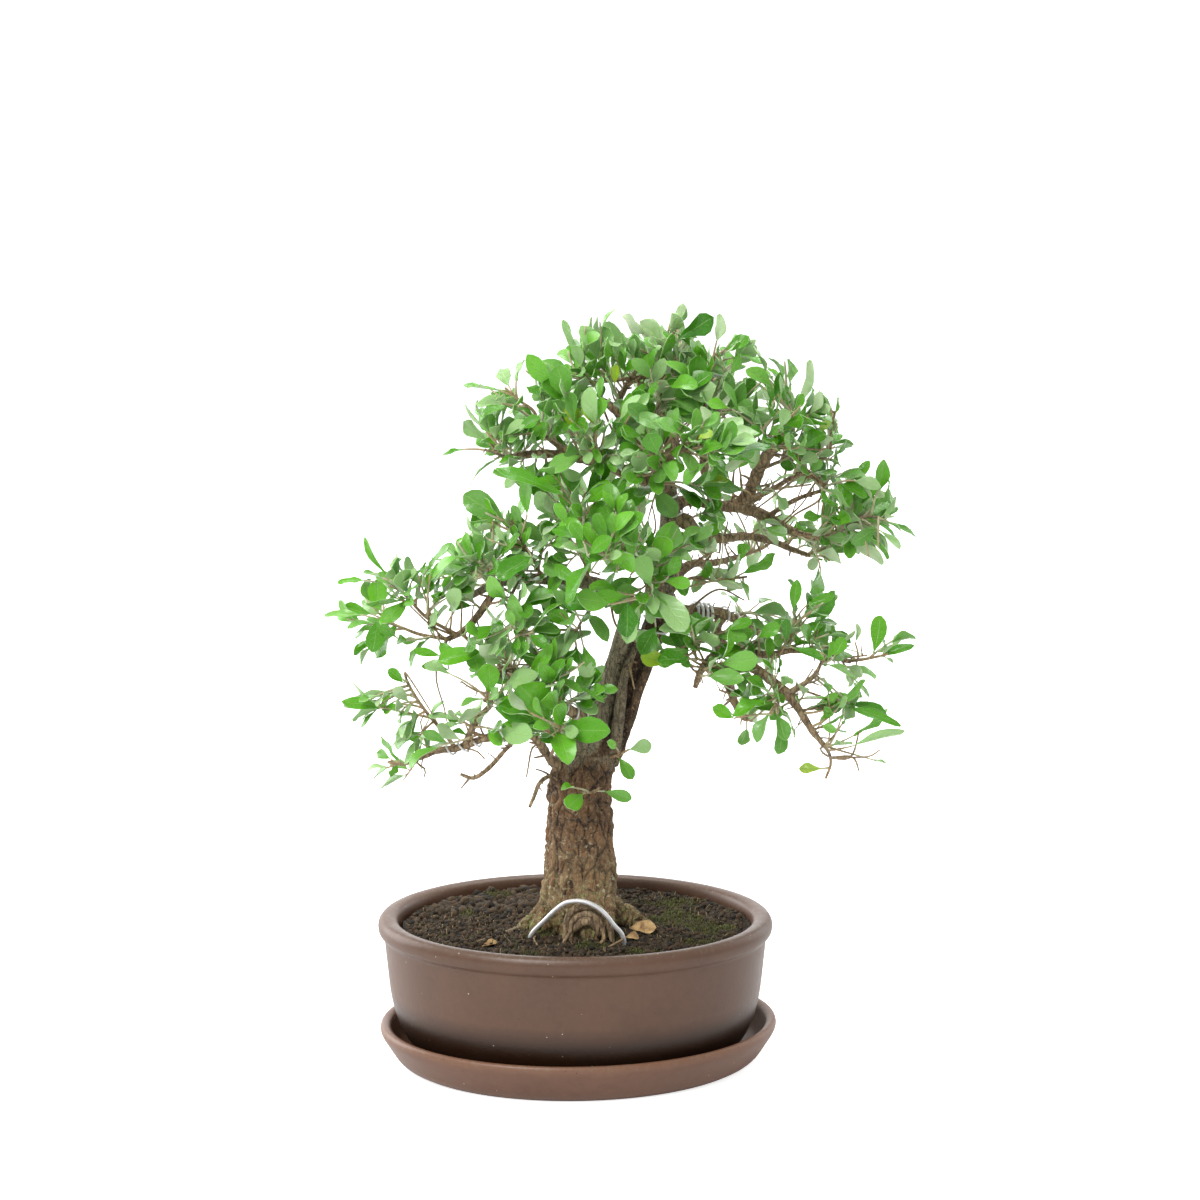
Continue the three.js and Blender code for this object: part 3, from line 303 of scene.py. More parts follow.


# Plated bark below the fork, grey bark on the left stem above it and red bark on the right one, with
# painted shade in the groove between the stems
def shadeTrunk(nodes):
    height = nodes.heights()
    (relief, _), (kind, _) = nodes.channels("barkRelief"), nodes.channels("barkKind")
    grain, small = nodes.bark(3.6), nodes.bark(1.2)
    patches = nodes.spread(nodes.noise(13, 3.0), 0.4, 0.62)
    plated = nodes.layers(
        nodes.blend(patches, trunkTints["bark"], trunkTints["redBark"]),
        (nodes.spread(grain["Fibre"], 0.42, 0.68, 0, 0.75), trunkTints["fibres"]),
        (nodes.spread(small["Fibre"], 0.55, 0.36, 0, 0.6), trunkTints["shade"]),
        (nodes.spread(relief["Green"], 0.5, 0.0, 0, 0.5), trunkTints["fine"]),
        (nodes.spread(relief["Red"], 0.55, 0.12, 0, 0.95), trunkTints["cracks"]))
    grey = nodes.layers(
        nodes.blend(nodes.spread(small["Fibre"], 0.38, 0.62), trunkTints["grey"], trunkTints["paleGrey"]),
        (nodes.spread(nodes.cells(3.2), 0.14, 0.24, 0.85, 0), trunkTints["lenticels"]))
    red = nodes.blend(nodes.spread(grain["Fibre"], 0.4, 0.62), trunkTints["red"], trunkTints["paleRed"])
    smooth = nodes.layers(nodes.blend(kind["Green"], grey, red),
                          (nodes.times(grain["Crack"], 0.5), trunkTints["smoothCracks"]))
    lichen = nodes.times(nodes.spread(nodes.noise(3.6, 4.0), 0.57, 0.61),
                         nodes.spread(height, 0.215, 0.12, 0.1, 1))
    lichen = nodes.times(lichen, nodes.spread(nodes.noise(22, 2.0), 0.46, 0.58))
    mossy = nodes.times(nodes.spread(nodes.noise(8, 4.0), 0.45, 0.6), nodes.spread(height, 0.12, 0.094))
    strings = nodes.times(nodes.spread(nodes.noise(2.4, 5.0), 0.57, 0.61),
                          nodes.spread(height, 0.14, 0.1))
    pale = nodes.times(nodes.spread(nodes.noise(9, 4.0), 0.4, 0.6),
                       nodes.spread(height, 0.16, 0.11, 0, 0.6))
    colour = nodes.layers(
        nodes.blend(nodes.spread(kind["Red"], 0.3, 0.9), smooth, plated),
        # Painted shade in the groove between the stems
        (nodes.spread(relief["Blue"], 0.15, 0.85, 0, 0.93), trunkTints["grooveShade"]),
        (nodes.spread(nodes.noise(1.7, 4.0, 0.7), 0.55, 0.66, 0, 0.6), trunkTints["flecks"]),
        (nodes.spread(nodes.noise(2.6, 5.0, 0.7), 0.45, 0.35, 0, 0.75), trunkTints["specks"]),
        (nodes.times(lichen, 0.85), trunkTints["lichen"]),
        (pale, trunkTints["foot"]), (nodes.times(mossy, 0.7), trunkTints["moss"]),
        (nodes.times(strings, 0.8), trunkTints["strings"]))
    bumps = nodes.plus(grain["Height"], nodes.times(small["Height"], 0.5))
    return {"Base Color": colour, "Normal": nodes.bump(bumps, 0.9, 1.1)}


# The two glazes, each with a rim that is paler between two heights in metres as a painted reflection, and
# a painted shade that darkens the pot's foot
glazeTints = {
    "pot": {"body": (0.076, 0.034, 0.018), "cloudy": (0.104, 0.05, 0.028), "rim": (0.11, 0.062, 0.042),
            "rimAt": (0.0925, 0.0965), "footShadeAt": (0.035, 0.0495)},
    "saucer": {"body": (0.122, 0.056, 0.033), "cloudy": (0.163, 0.081, 0.049),
               "rim": (0.185, 0.087, 0.048), "rimAt": (0.022, 0.0262), "footShadeAt": (0.0, 0.001)},
    # The foot colour below is a painted shade
    "dust": (0.2, 0.165, 0.115), "foot": (0.018, 0.0065, 0.002), "pits": (0.03, 0.02, 0.015),
    "specks": (0.5, 0.42, 0.34),
}


def glazeOf(name):
    tints = glazeTints[name]

    def shade(nodes):
        height = nodes.heights()
        finish = nodes.group(glazeFinish, {"Vector": nodes.point()})
        # A painted reflection makes the rim paler; dust lies on it too
        rimSheenAndDust = nodes.times(nodes.spread(height, *tints["rimAt"]), 0.75)
        dust = nodes.times(nodes.spread(nodes.noise(3, 6.0, 0.7), 0.52, 0.64), rimSheenAndDust)
        colour = nodes.layers(
            nodes.blend(finish["Cloud"], tints["body"], tints["cloudy"]), (rimSheenAndDust, tints["rim"]),
            (nodes.times(dust, 0.5), glazeTints["dust"]),
            # Painted shade that darkens the glaze towards the foot
            (nodes.spread(height, *tints["footShadeAt"], 0.95, 0), glazeTints["foot"]),
            (finish["Pits"], glazeTints["pits"]), (finish["Specks"], glazeTints["specks"]))
        return {"Base Color": colour, "Roughness": nodes.spread(finish["Cloud"], 0, 1, 0.36, 0.5),
                "Normal": nodes.bump(finish["Height"], 0.35, 0.25)}
    return shade


def shadeSoil(nodes):
    moss = nodes.channels("mossCover")[0]["Red"]
    grey = nodes.add("SeparateColor", {"Color": nodes.cells(1.9, "Color")})["Red"]
    colour = nodes.layers(
        nodes.blend(grey, (0.006, 0.004, 0.002), (0.036, 0.023, 0.01)),
        (nodes.spread(nodes.noise(8, 3.0), 0.52, 0.62, 0, 0.6), (0.055, 0.034, 0.016)),
        (nodes.times(moss, nodes.spread(nodes.noise(2.2, 4.0), 0.36, 0.56)), (0.05, 0.05, 0.012)))
    return {"Base Color": colour,
            "Normal": nodes.bump(nodes.plus(nodes.cells(1.9), nodes.noise(4, 4.0)), 1, 1.2)}


def shadeCrumb(nodes):
    parts, _ = nodes.channels("crumbTone")
    colour = nodes.layers(
        nodes.blend(parts["Red"], (0.005, 0.0035, 0.0018), (0.08, 0.05, 0.022)),
        (nodes.spread(parts["Green"], 0.8, 0.82, 0, 0.7), (0.075, 0.036, 0.016)),
        (nodes.spread(parts["Green"], 0.95, 0.951), (0.34, 0.24, 0.12)),
        (nodes.spread(nodes.noise(1.1), 0.4, 0.6, 0, 0.4), (0.03, 0.022, 0.017)))
    return {"Base Color": colour, "Normal": nodes.bump(nodes.noise(0.9, 3.0), 0.7, 0.5)}


def shadeMoss(nodes):
    parts, _ = nodes.channels("mossTone")
    colour = nodes.layers(
        nodes.blend(parts["Red"], (0.022, 0.024, 0.004), (0.15, 0.17, 0.03)),
        (nodes.spread(nodes.noise(12, 2.0), 0.42, 0.58, 0, 0.75), (0.09, 0.065, 0.022)),
        (nodes.spread(parts["Green"], 0, 0.7, 0.7, 0), (0.035, 0.045, 0.012)))
    return {"Base Color": colour, "Normal": nodes.bump(nodes.noise(0.7), 0.4, 0.3)}


def shadeWire(nodes):
    dull = nodes.spread(nodes.noise(5, 4.0), 0.35, 0.65)
    return {"Base Color": nodes.blend(dull, (0.62, 0.62, 0.63), (0.82, 0.82, 0.83)),
            "Roughness": nodes.spread(dull, 0, 1, 0.5, 0.32),
            "Normal": nodes.bump(nodes.noise(0.5, 2.0), 0.25, 0.2)}


def shadeDry(nodes):
    veins = nodes.group(leafVeins, {"Vein Count": 8.0})
    colour = nodes.layers(
        nodes.blend(nodes.spread(nodes.noise(5, 4.0), 0.38, 0.62), (0.3, 0.17, 0.07), (0.62, 0.43, 0.2)),
        (nodes.times(veins["Midrib"], 0.5), (0.3, 0.18, 0.08)),
        (nodes.spread(nodes.noise(2.4, 3.0), 0.6, 0.66, 0, 0.8), (0.12, 0.06, 0.03)))
    return {"Base Color": colour,
            "Normal": nodes.bump(nodes.plus(veins["Veins"], nodes.noise(1.8, 3.0)), 0.7, 0.5)}


# White to the camera, so that the floor has no far edge, and less bright to everything else
def shadeFloor(nodes):
    seen = nodes.add("LightPath", {})["Is Camera Ray"]
    return {"Emission Strength": nodes.spread(seen, 0, 1, 0.12, 0.76)}


leafMaterial = newMaterial("leafGreen", shadeLeaf, Specular_IOR_Level=0.36, Subsurface_Weight=0.3,
                           Subsurface_Scale=0.0008, Subsurface_Radius=(0.5, 1, 0.15))
shootMaterial = newMaterial("youngShoot", shadeShoot, Roughness=0.6)
twigMaterial = newMaterial("twigBark", shadeTwig, Roughness=0.75)
branchMaterial = newMaterial("branchBark", shadeBranch, Roughness=0.8)
trunkMaterial = newMaterial("trunkBark", shadeTrunk, Roughness=0.85)
glazeMaterial = newMaterial("brownGlaze", glazeOf("pot"))
saucerMaterial = newMaterial("saucerGlaze", glazeOf("saucer"))
soilMaterial = newMaterial("darkSoil", shadeSoil, Roughness=0.95)
crumbMaterial = newMaterial("soilCrumb", shadeCrumb, Roughness=0.9)
mossMaterial = newMaterial("greenMoss", shadeMoss, Roughness=0.85)
wireMaterial = newMaterial("aluminiumWire", shadeWire, Metallic=0.6)
dryMaterial = newMaterial("dryLeaf", shadeDry, Roughness=0.7)
floorMaterial = newMaterial("whiteFloor", shadeFloor, Roughness=0.9, Base_Color=(0.8, 0.8, 0.8, 1),
                            Emission_Color=(1, 1, 1, 1))
print("materials made")
# Points along the trunk, its roots and the branches, as the solids have them: x, y, z and radius
trunkPoints = [(0, -4, 66, 22), (0, -4, 84, 26), (1, -4, 98, 26), (1, -4, 112, 25), (2, -4, 128, 23.5),
    (2, -3, 144, 22.5), (2, -3, 160, 21.5), (2, -2, 178, 20.5), (4, -1, 195, 20.5), (9, 0, 210, 17),
    (12, 0, 220, 11)]
rootPoints = [
    [(12, -6, 106, 13), (28, -5, 98, 8.5), (40, -3, 92, 5.5), (53, -4, 87, 2.4)],
    [(0, -14, 108, 13), (4, -26, 100, 9.5), (6, -34, 92, 6.5), (8, -42, 85, 3)],
    [(-10, -6, 106, 13), (-24, -9, 96, 7.5), (-36, -12, 90, 4.6), (-48, -17, 86, 2.2)],
    [(-4, 8, 106, 13), (-10, 20, 97, 8), (-16, 31, 90, 4.6), (-24, 40, 86, 2.2)],
    [(12, 6, 106, 12), (22, 18, 96, 7.5), (32, 28, 90, 4.2), (42, 36, 86, 2)],
]
branchPoints = {
    "stemLeft": [(6, 2, 199, 14), (13, 2, 223, 12), (20, 1, 245, 10.2), (26, 0, 265, 9.2),
        (32, -2, 283, 8.2), (34, -5, 298, 7), (29, -10, 310, 6), (16, -16, 317, 5.2),
        (0, -22, 322, 4.6), (-18, -27, 324, 4), (-39, -30, 324, 3.3), (-57, -28, 318, 2.6),
        (-71, -20, 309, 1.8)],
    "stemRight": [(14, -1, 199, 13), (23, -2, 223, 9.5), (30, -2, 241, 8.2), (38, -1, 260, 7.8),
        (46, 0, 277, 7.8), (52, 2, 294, 7.8), (55, 3, 311, 7.6), (57, 4, 329, 7.2), (59, 4, 347, 6.8),
        (60, 4, 364, 6.2), (58, 3, 380, 5), (56, 2, 391, 4)],
    "ridge": [(19, -9, 205, 6), (23, -10, 224, 5), (27, -9, 242, 4.5), (29, -8, 258, 4.2),
        (32, -6, 274, 3.8), (37, -3, 287, 3)],
    "crownLeft": [(58, 3, 376, 4.8), (40, -6, 385, 4.2), (20, -14, 394, 3.8), (2, -20, 400, 3.3),
        (-18, -24, 403, 2.9), (-35, -24, 402, 2.3), (-46, -20, 399, 1.6)],
    "leftRiser": [(57, 2, 386, 3.8), (44, -2, 401, 3.3), (34, -5, 415, 3), (23, -8, 430, 2.6),
        (15, -10, 436, 2)],
    "topFork": [(24, -8, 428, 2.2), (29, -2, 438, 2), (34, 4, 446, 1.8), (40, 10, 454, 1.3)],
    "leader": [(57, 3, 387, 4), (59, 8, 402, 3.2), (55, 12, 417, 2.8), (53, 14, 432, 2.4),
        (54, 16, 444, 1.9)],
    "crownRight": [(89, 15, 362, 3.2), (84, 8, 380, 3), (81, 4, 395, 2.8), (80, 2, 414, 2.5),
        (82, 2, 437, 2.2), (85, 2, 452, 1.6)],
    "topSpan": [(82, 2, 435, 2), (76, 2, 446, 2), (65, 0, 447, 1.8), (53, -2, 449, 1.7),
        (34, -4, 448, 1.4)],
    "rightLong": [(60, 5, 364, 4.5), (71, 10, 368, 3.6), (88, 14, 364, 3.7), (105, 18, 362, 3.9),
        (121, 22, 356, 3.6), (134, 24, 348, 3), (146, 24, 343, 2.5), (157, 22, 342, 2.1),
        (169, 18, 345, 1.6)],
    "rightRise": [(102, 17, 362, 4), (111, 8, 375, 4.2), (117, -4, 393, 4.2), (125, -12, 406, 4),
        (134, -18, 415, 3.2)],
    "rightLow": [(60, 3, 358, 6), (69, 2, 356, 5), (80, 5, 346, 4.2), (95, 14, 343, 3.2),
        (110, 26, 342, 2.8), (127, 36, 337, 2.4), (139, 42, 331, 2), (152, 44, 326, 1.5)],
    "netTwigHigh": [(109, 18, 364, 1.8), (127, 12, 376, 1.7), (145, 6, 386, 1.5), (158, 2, 378, 1.1)],
    "netTwigLow": [(123, 22, 356, 1.7), (141, 20, 367, 1.5), (161, 14, 375, 1.1)],
    "crownBack": [(58, 4, 386, 3.6), (61, 30, 400, 3), (68, 54, 414, 2.5), (77, 76, 423, 1.7)],
    "crownFront": [(58, 1, 375, 3.8), (50, -25, 390, 3.1), (55, -48, 405, 2.6), (68, -68, 413, 1.8)],
    "midBack": [(57, 4, 319, 4), (49, 34, 336, 3.2), (40, 60, 336, 2.5), (27, 82, 337, 1.7)],
    "backRight": [(54, 4, 302, 3.8), (72, 34, 321, 3), (91, 58, 319, 2.4), (110, 78, 320, 1.7)],
    "frontMid": [(54, 2, 305, 4.4), (48, -24, 328, 3.5), (36, -48, 340, 2.8), (22, -70, 348, 1.9)],
    "lowArch": [(11, -4, 225, 4.8), (-2, -20, 236, 3.9), (-15, -32, 248, 3.2), (-26, -40, 260, 2.7),
        (-36, -44, 268, 2.4), (-46, -44, 270, 1.9), (-53, -42, 263, 1.2)],
    "lowLeft": [(-9, -10, 194, 3.8), (-19, -24, 210, 3.1), (-27, -32, 223, 2.8), (-39, -36, 227, 2.8),
        (-51, -38, 225, 2.7), (-62, -38, 222, 2.6), (-74, -36, 217, 2.5), (-87, -32, 214, 2.1),
        (-100, -28, 208, 1.6)],
    "hangingTwig": [(-36, -35, 225, 2), (-45, -30, 214, 1.6), (-57, -26, 200, 1.4),
        (-66, -24, 194, 1.3), (-74, -22, 196, 1)],
    "trunkTwig": [(-13, -14, 195, 1.7), (-23, -22, 191, 1.4), (-27, -24, 182, 1.2),
        (-30, -25, 175, 0.9)],
    "rightMidA": [(51, 2, 292, 5.6), (66, 8, 296, 4.7), (81, 14, 294, 4.2), (95, 20, 292, 3.6),
        (107, 26, 285, 2.6), (120, 32, 276, 1.7)],
    "rightMidB": [(94, 19, 292, 3.5), (90, 10, 283, 3.3), (93, 2, 275, 3.2), (105, -4, 274, 2.7),
        (122, -8, 271, 2.3), (138, -8, 274, 2.1), (151, -6, 272, 1.9), (164, -2, 268, 1.8),
        (176, 4, 264, 1.5)],
    "rightLowA": [(93, 3, 276, 3.6), (102, -6, 269, 3.3), (113, -14, 264, 3.1), (124, -20, 257, 3.3),
        (134, -24, 249, 3.4), (141, -26, 240, 2.8), (150, -28, 226, 2.3), (157, -28, 217, 1.7)],
    "rightLowUp": [(134, -24, 249, 2.3), (143, -30, 256, 1.9), (151, -34, 264, 1.5),
        (155, -36, 273, 1)],
    "rightLowBack": [(103, -6, 268, 3.2), (99, 7, 254, 2.7), (102, 16, 237, 2.4), (110, 20, 222, 1.6)],
    "frontStub": [(93, 1, 275, 3.1), (84, -18, 269, 2.8), (78, -36, 265, 2.4), (75, -44, 258, 1.8)],
    "padLimb": [(-48, -29, 321, 3), (-55, -32, 311, 2.5), (-63, -34, 300, 2.4), (-72, -34, 291, 2.2),
        (-82, -33, 286, 1.7)],
}
# The leafy sprays of each piece of foliage. A spray has the branch it grows from and its place along it,
# the points of its stem, and leaves: tip, length, and how broad where it isn't as usual. The first list
# of leaves is that of the solids, the second has those that they leave out.
foliagePlans = {
    "topFoliage": {"tint": 0.62, "fill": 1.0, "sprays": {
        "leafyTopLeader": ("leader", 1, [(53, 18, 457), (58, 18, 469), (64, 16, 477)],
            [(68, 16, 494, 13), (54, 4, 480, 13), (30, -8, 488, 24), (17, -22, 472, 20),
             (47, -22, 471, 18)], [(76, 10, 471, 13), (40, 22, 481, 18)]),
        "leafyTopLeft": ("topSpan", 1, [(15, -6, 446), (-1, -8, 446)],
            [(8, 0, 486, 15), (16, -14, 481, 24), (14, -30, 465, 20), (-9, -8, 485, 26, 0.5),
             (-32, -14, 457, 27, 0.8), (-27, 6, 450, 20)], [(-2, 8, 472, 18), (3, -34, 456, 16)]),
        "leafyTopRight": ("crownRight", 1, [(86, 0, 459), (90, -2, 466)],
            [(93, 0, 488, 18, 1.2), (91, -22, 468, 16), (77, 14, 468, 18), (109, -5, 474, 18),
             (117, -12, 463, 20)], []),
        "leafyTopBack": ("crownBack", 0.5, [(64, 58, 426), (57, 60, 438)],
            [(73, 50, 460, 17), (58, 56, 467, 18), (94, 48, 452, 18), (48, 94, 424, 20),
             (33, 88, 403, 20)], [(38, 62, 457, 18), (37, 76, 433, 18)]),
        "leafyBackCrown": ("crownBack", 1, [(85, 90, 427), (94, 98, 429)],
            [(96, 112, 439, 20), (115, 112, 419, 20), (77, 98, 444, 18), (125, 100, 405, 18)], [])}},
    "crownLeftFoliage": {"tint": 0.55, "fill": 0.9, "sprays": {
        "leafyLeftTwig": ("crownLeft", 0.62, [(-22, -27, 418), (-26, -28, 430), (-35, -28, 437),
            (-44, -28, 445)],
            [(-70, -32, 448, 24), (-34, -26, 463, 14), (-48, -12, 457, 18)], [(-36, -46, 441, 15)]),
        "leafyLeftTip": ("crownLeft", 1, [(-51, -22, 405), (-54, -24, 413)],
            [(-71, -30, 424, 20), (-64, -8, 413, 19), (-84, -18, 403, 14, 0.6),
             (-69, -34, 389, 28, 0.35), (-33, -46, 426, 20), (-22, -54, 430, 20)],
            [(-50, -6, 432, 16)]),
        "leafyLeftRise": ("crownLeft", 0.4, [(1, -24, 418), (-2, -26, 431), (-6, -26, 442)],
            [(-33, -28, 438, 25), (-19, -38, 449, 25), (8, -46, 440, 18)], [(-10, -6, 433, 18)]),
        "leafyLeftFront": ("crownLeft", 0.22, [(16, -34, 404), (11, -48, 411)],
            [(-14, -58, 439, 16), (-2, -66, 427, 16), (9, -70, 418, 18), (25, -62, 418, 24)], []),
        "leafyLeftBack": ("crownLeft", 0.5, [(-12, -2, 407), (-16, 18, 412)],
            [(-41, 22, 426, 18), (-20, 36, 436, 18), (-3, 46, 425, 18)],
            [(-49, 18, 411, 16), (10, 56, 402, 18)])}},
    "crownFrontFoliage": {"tint": 0.5, "fill": 1.0, "sprays": {
        "leafyFrontCrown": ("crownFront", 0.55, [(49, -58, 407)],
            [(41, -66, 420, 24), (24, -70, 395, 27), (61, -78, 399, 20)], [(20, -54, 405, 18)]),
        "leafyFrontPale": ("crownFront", 1, [(76, -80, 416), (83, -86, 412)],
            [(52, -86, 436, 26), (37, -72, 435, 22), (89, -94, 431, 25), (71, -104, 423, 18)],
            [(86, -102, 412, 14)]),
        "leafyFrontRise": ("leader", 0.45, [(50, -4, 425), (54, -16, 436)],
            [(34, -26, 422, 20), (63, -12, 447, 22), (72, -30, 435, 22)], [(41, -32, 439, 18)]),
        "leafyRightHigh": ("rightRise", 1, [(136, -14, 424), (133, -8, 434)],
            [(151, -26, 442, 27), (156, -16, 460, 34, 0.6), (146, -40, 427, 20),
             (129, -34, 447, 20, 0.8), (126, 8, 461, 18), (110, 36, 443, 20)],
            [(137, 2, 459, 20), (116, 22, 453, 18)]),
        "leafyRightDark": ("rightRise", 0.7, [(120, -26, 413), (114, -38, 421)],
            [(120, -56, 416, 25), (103, -38, 436, 22), (141, -48, 415, 16)], [(116, -52, 435, 18)]),
        "leafyCrownMid": ("crownRight", 0.6, [(83, -12, 423), (89, -24, 431)],
            [(96, -26, 448, 20), (103, -50, 429, 20), (78, -44, 443, 22), (86, -62, 416, 20)], [])}},
    "rightFoliage": {"tint": 0.5, "fill": 0.9, "sprays": {
        "leafyRightTwig": ("rightRise", 0.5, [(135, 0, 396), (150, 4, 394), (160, 6, 398),
            (162, 6, 414), (164, 6, 425)],
            [(176, 10, 407, 14), (166, 4, 432, 13), (155, -10, 420, 16), (143, -10, 408, 24)], []),
        "leafyRightTip": ("rightLong", 1, [(178, 12, 354), (185, 10, 358), (193, 10, 357)],
            [(163, 4, 386, 28), (174, 18, 386, 18), (203, 4, 379, 20), (221, 14, 345, 28, 0.5),
             (204, 2, 349, 24, 0.8), (201, -4, 334, 24), (198, 24, 361, 22), (183, 18, 332, 18, 1.2),
             (161, -22, 361, 18)], [(156, -6, 372, 16), (173, -8, 334, 16), (145, -20, 363, 16)]),
        "leafyRightBack": ("rightLow", 1, [(163, 50, 330), (168, 54, 340)],
            [(154, 60, 314, 16), (146, 66, 346, 18), (176, 62, 337, 18), (175, 52, 361, 18)], []),
        "leafyRightInner": ("rightRise", 0.2, [(115, -4, 374), (122, -12, 381)],
            [(117, -32, 381, 18), (88, -20, 383, 22), (137, -22, 391, 16)], [(132, -34, 370, 16)])}},
    "middleFoliage": {"tint": 0.6, "fill": 1.0, "sprays": {
        "leafyBackRight": ("backRight", 1, [(127, 92, 325), (135, 98, 335)],
            [(146, 108, 343, 20), (154, 100, 327, 18), (133, 106, 361, 18), (118, 116, 309, 20),
             (84, 94, 341, 20), (105, 84, 342, 18)], [(96, 86, 363, 18)]),
        "leafyBackMid": ("midBack", 1, [(14, 98, 337), (4, 104, 348)],
            [(-15, 112, 352, 22), (0, 108, 371, 20), (19, 98, 380, 18), (-23, 116, 328, 20),
             (31, 86, 365, 18), (47, 88, 370, 18)], [(8, 84, 366, 18), (23, 96, 310, 20)]),
        "leafyMidBig": ("stemLeft", 0.62, [(5, -34, 340), (4, -40, 357), (0, -42, 372), (-9, -42, 385)],
            [(-51, -50, 397, 38, 0.85), (22, -58, 390, 25), (32, -50, 391, 20), (-5, -28, 369, 18)],
            []),
        "leafyMidLeft": ("stemLeft", 0.76, [(-26, -38, 338), (-34, -42, 351), (-40, -40, 364)],
            [(-70, -38, 380, 31), (-47, -62, 332, 30), (-35, -46, 372, 22), (-16, -66, 355, 27)], []),
        "leafyFrontMid": ("frontMid", 1, [(14, -84, 351), (8, -92, 348)],
            [(37, -100, 374, 30, 0.8), (8, -96, 368, 24, 0.7), (-9, -100, 358, 24), (-5, -94, 321, 33)],
            []),
        "leafyFrontLow": ("frontMid", 0.42, [(46, -52, 325), (47, -62, 320)],
            [(69, -78, 304, 40, 0.75), (48, -72, 313, 18), (30, -72, 293, 24), (66, -50, 363, 24)], []),
        "leafyPaleShoot": ("rightMidA", 0.25, [(72, -12, 293), (74, -26, 284), (76, -34, 273)],
            [(51, -42, 274, 24), (83, -34, 287, 24), (58, -34, 298, 25), (108, -40, 269, 34, 0.7)], []),
        "leafyMidUnder": ("stemLeft", 0.5, [(12, -30, 307), (4, -40, 300), (-1, -46, 291)],
            [(16, -48, 297, 24), (-14, -50, 310, 18), (-12, -58, 282, 25)], [(10, -46, 267, 18)]),
        "leafyMidRight": ("stemRight", 0.55, [(72, 0, 319), (91, -4, 319), (109, -4, 321)],
            [(104, -30, 339, 34, 0.7), (50, -46, 347, 24), (107, -16, 347, 18), (128, 0, 334, 24, 0.9),
             (110, -8, 306, 16, 1.2)], [(90, -34, 368, 20), (100, 8, 331, 12)])}},
    "padFoliage": {"tint": 0.55, "fill": 1.0, "sprays": {
        "leafyPadTip": ("padLimb", 0.84, [(-94, -36, 301), (-103, -38, 311), (-110, -40, 319),
            (-119, -42, 327)],
            [(-135, -42, 351, 30, 0.4), (-149, -46, 326, 18, 0.6), (-132, -52, 333, 14, 1.2),
             (-120, -62, 304, 28, 0.8), (-104, -62, 324, 22), (-93, -52, 339, 18),
             (-80, -44, 351, 24, 0.7)], [(-112, -26, 338, 14)]),
        "leafyPadLow": ("padLimb", 1, [(-99, -30, 289), (-111, -27, 293), (-121, -25, 296)],
            [(-159, -26, 303, 24, 0.6), (-148, -16, 304, 20), (-128, -34, 276, 24, 1.2),
             (-90, -62, 310, 32, 0.8), (-102, -44, 280, 28, 0.6), (-77, -52, 278, 18)],
            [(-137, -8, 307, 20), (-84, -8, 304, 20)]),
        "leafyPadTop": ("stemLeft", 0.88, [(-55, -36, 331), (-61, -34, 342)],
            [(-76, -26, 345, 20), (-85, -58, 333, 29, 0.7), (-63, -18, 360, 18), (-47, -40, 356, 25)],
            []),
        "leafyPadBack": ("stemLeft", 0.9, [(-56, -4, 319), (-58, 20, 324)],
            [(-94, 14, 330, 20), (-78, 28, 341, 18), (-56, 38, 344, 20), (-34, 42, 337, 20),
             (-51, 56, 313, 18)], [(-107, 10, 311, 18), (-16, 44, 348, 18), (-24, 52, 300, 18)]),
        "leafyPadUnder": ("stemLeft", 0.82, [(-41, -46, 313), (-37, -56, 303), (-33, -60, 294)],
            [(-62, -70, 293, 22, 1.2), (-56, -64, 285, 27), (-22, -64, 304, 20), (-35, -62, 279, 18)],
            [])}},
    "lowLeftFoliage": {"tint": 0.65, "fill": 0.6, "sprays": {
        "leafyLowUp": ("lowLeft", 0.78, [(-86, -32, 228), (-96, -30, 240), (-104, -28, 252),
            (-108, -26, 260)],
            [(-148, -30, 245, 33, 0.7), (-142, -38, 236, 20, 0.8)],
            [(-121, -44, 242, 13, 1.2), (-118, -24, 265, 12)]),
        "leafyLowTip": ("lowLeft", 1, [(-110, -24, 203), (-119, -20, 204)],
            [(-125, -28, 221, 20), (-118, -16, 193, 12), (-100, -46, 216, 16), (-86, -40, 249, 18)],
            [(-128, -10, 208, 13), (-94, -52, 224, 14, 1.2)]),
        "leafyLowFork": ("lowLeft", 0.6, [(-66, -40, 229), (-61, -44, 238), (-53, -48, 247),
            (-56, -50, 256)],
            [(-72, -60, 251, 16), (-55, -62, 278, 24, 1.1), (-74, -56, 245, 20)],
            [(-95, -46, 272, 16), (-48, -66, 265, 18)]),
        "leafyLowBig": ("lowLeft", 0.15, [(-13, -48, 223), (-10, -66, 238)],
            [(-34, -78, 267, 38, 1.3), (21, -78, 239, 34, 1.1), (-5, -82, 221, 26, 1.1),
             (-45, -64, 240, 24)], []),
        "leafyLowArch": ("lowArch", 0.5, [(-16, -46, 260), (-12, -56, 269)],
            [(4, -58, 260, 20), (19, -52, 253, 22, 0.4), (-14, -66, 291, 30, 0.4), (-36, -54, 284, 24)],
            []),
        "leafyLowBack": ("lowArch", 0.82, [(-41, -18, 259), (-46, 4, 249)],
            [(-52, 14, 233, 18), (-69, 10, 256, 18), (-29, 28, 257, 20)], [(-45, 6, 278, 18)]),
        "leafyTrunkRight": ("stemRight", 0.04, [(20, -9, 204), (27, -15, 207), (33, -18, 211)],
            [(21, -32, 219, 12), (48, -14, 214, 15, 1.2), (36, -24, 194, 17)], []),
        "leafyTrunkFront": ("trunk", 0.74, [(3, -14, 183), (6, -26, 185), (11, -33, 187),
            (15, -37, 191)],
            [(-6, -50, 181, 22), (35, -38, 184, 18)], [(-9, -46, 194, 11)])}},
    "lowRightFoliage": {"tint": 0.55, "fill": 0.6, "sprays": {
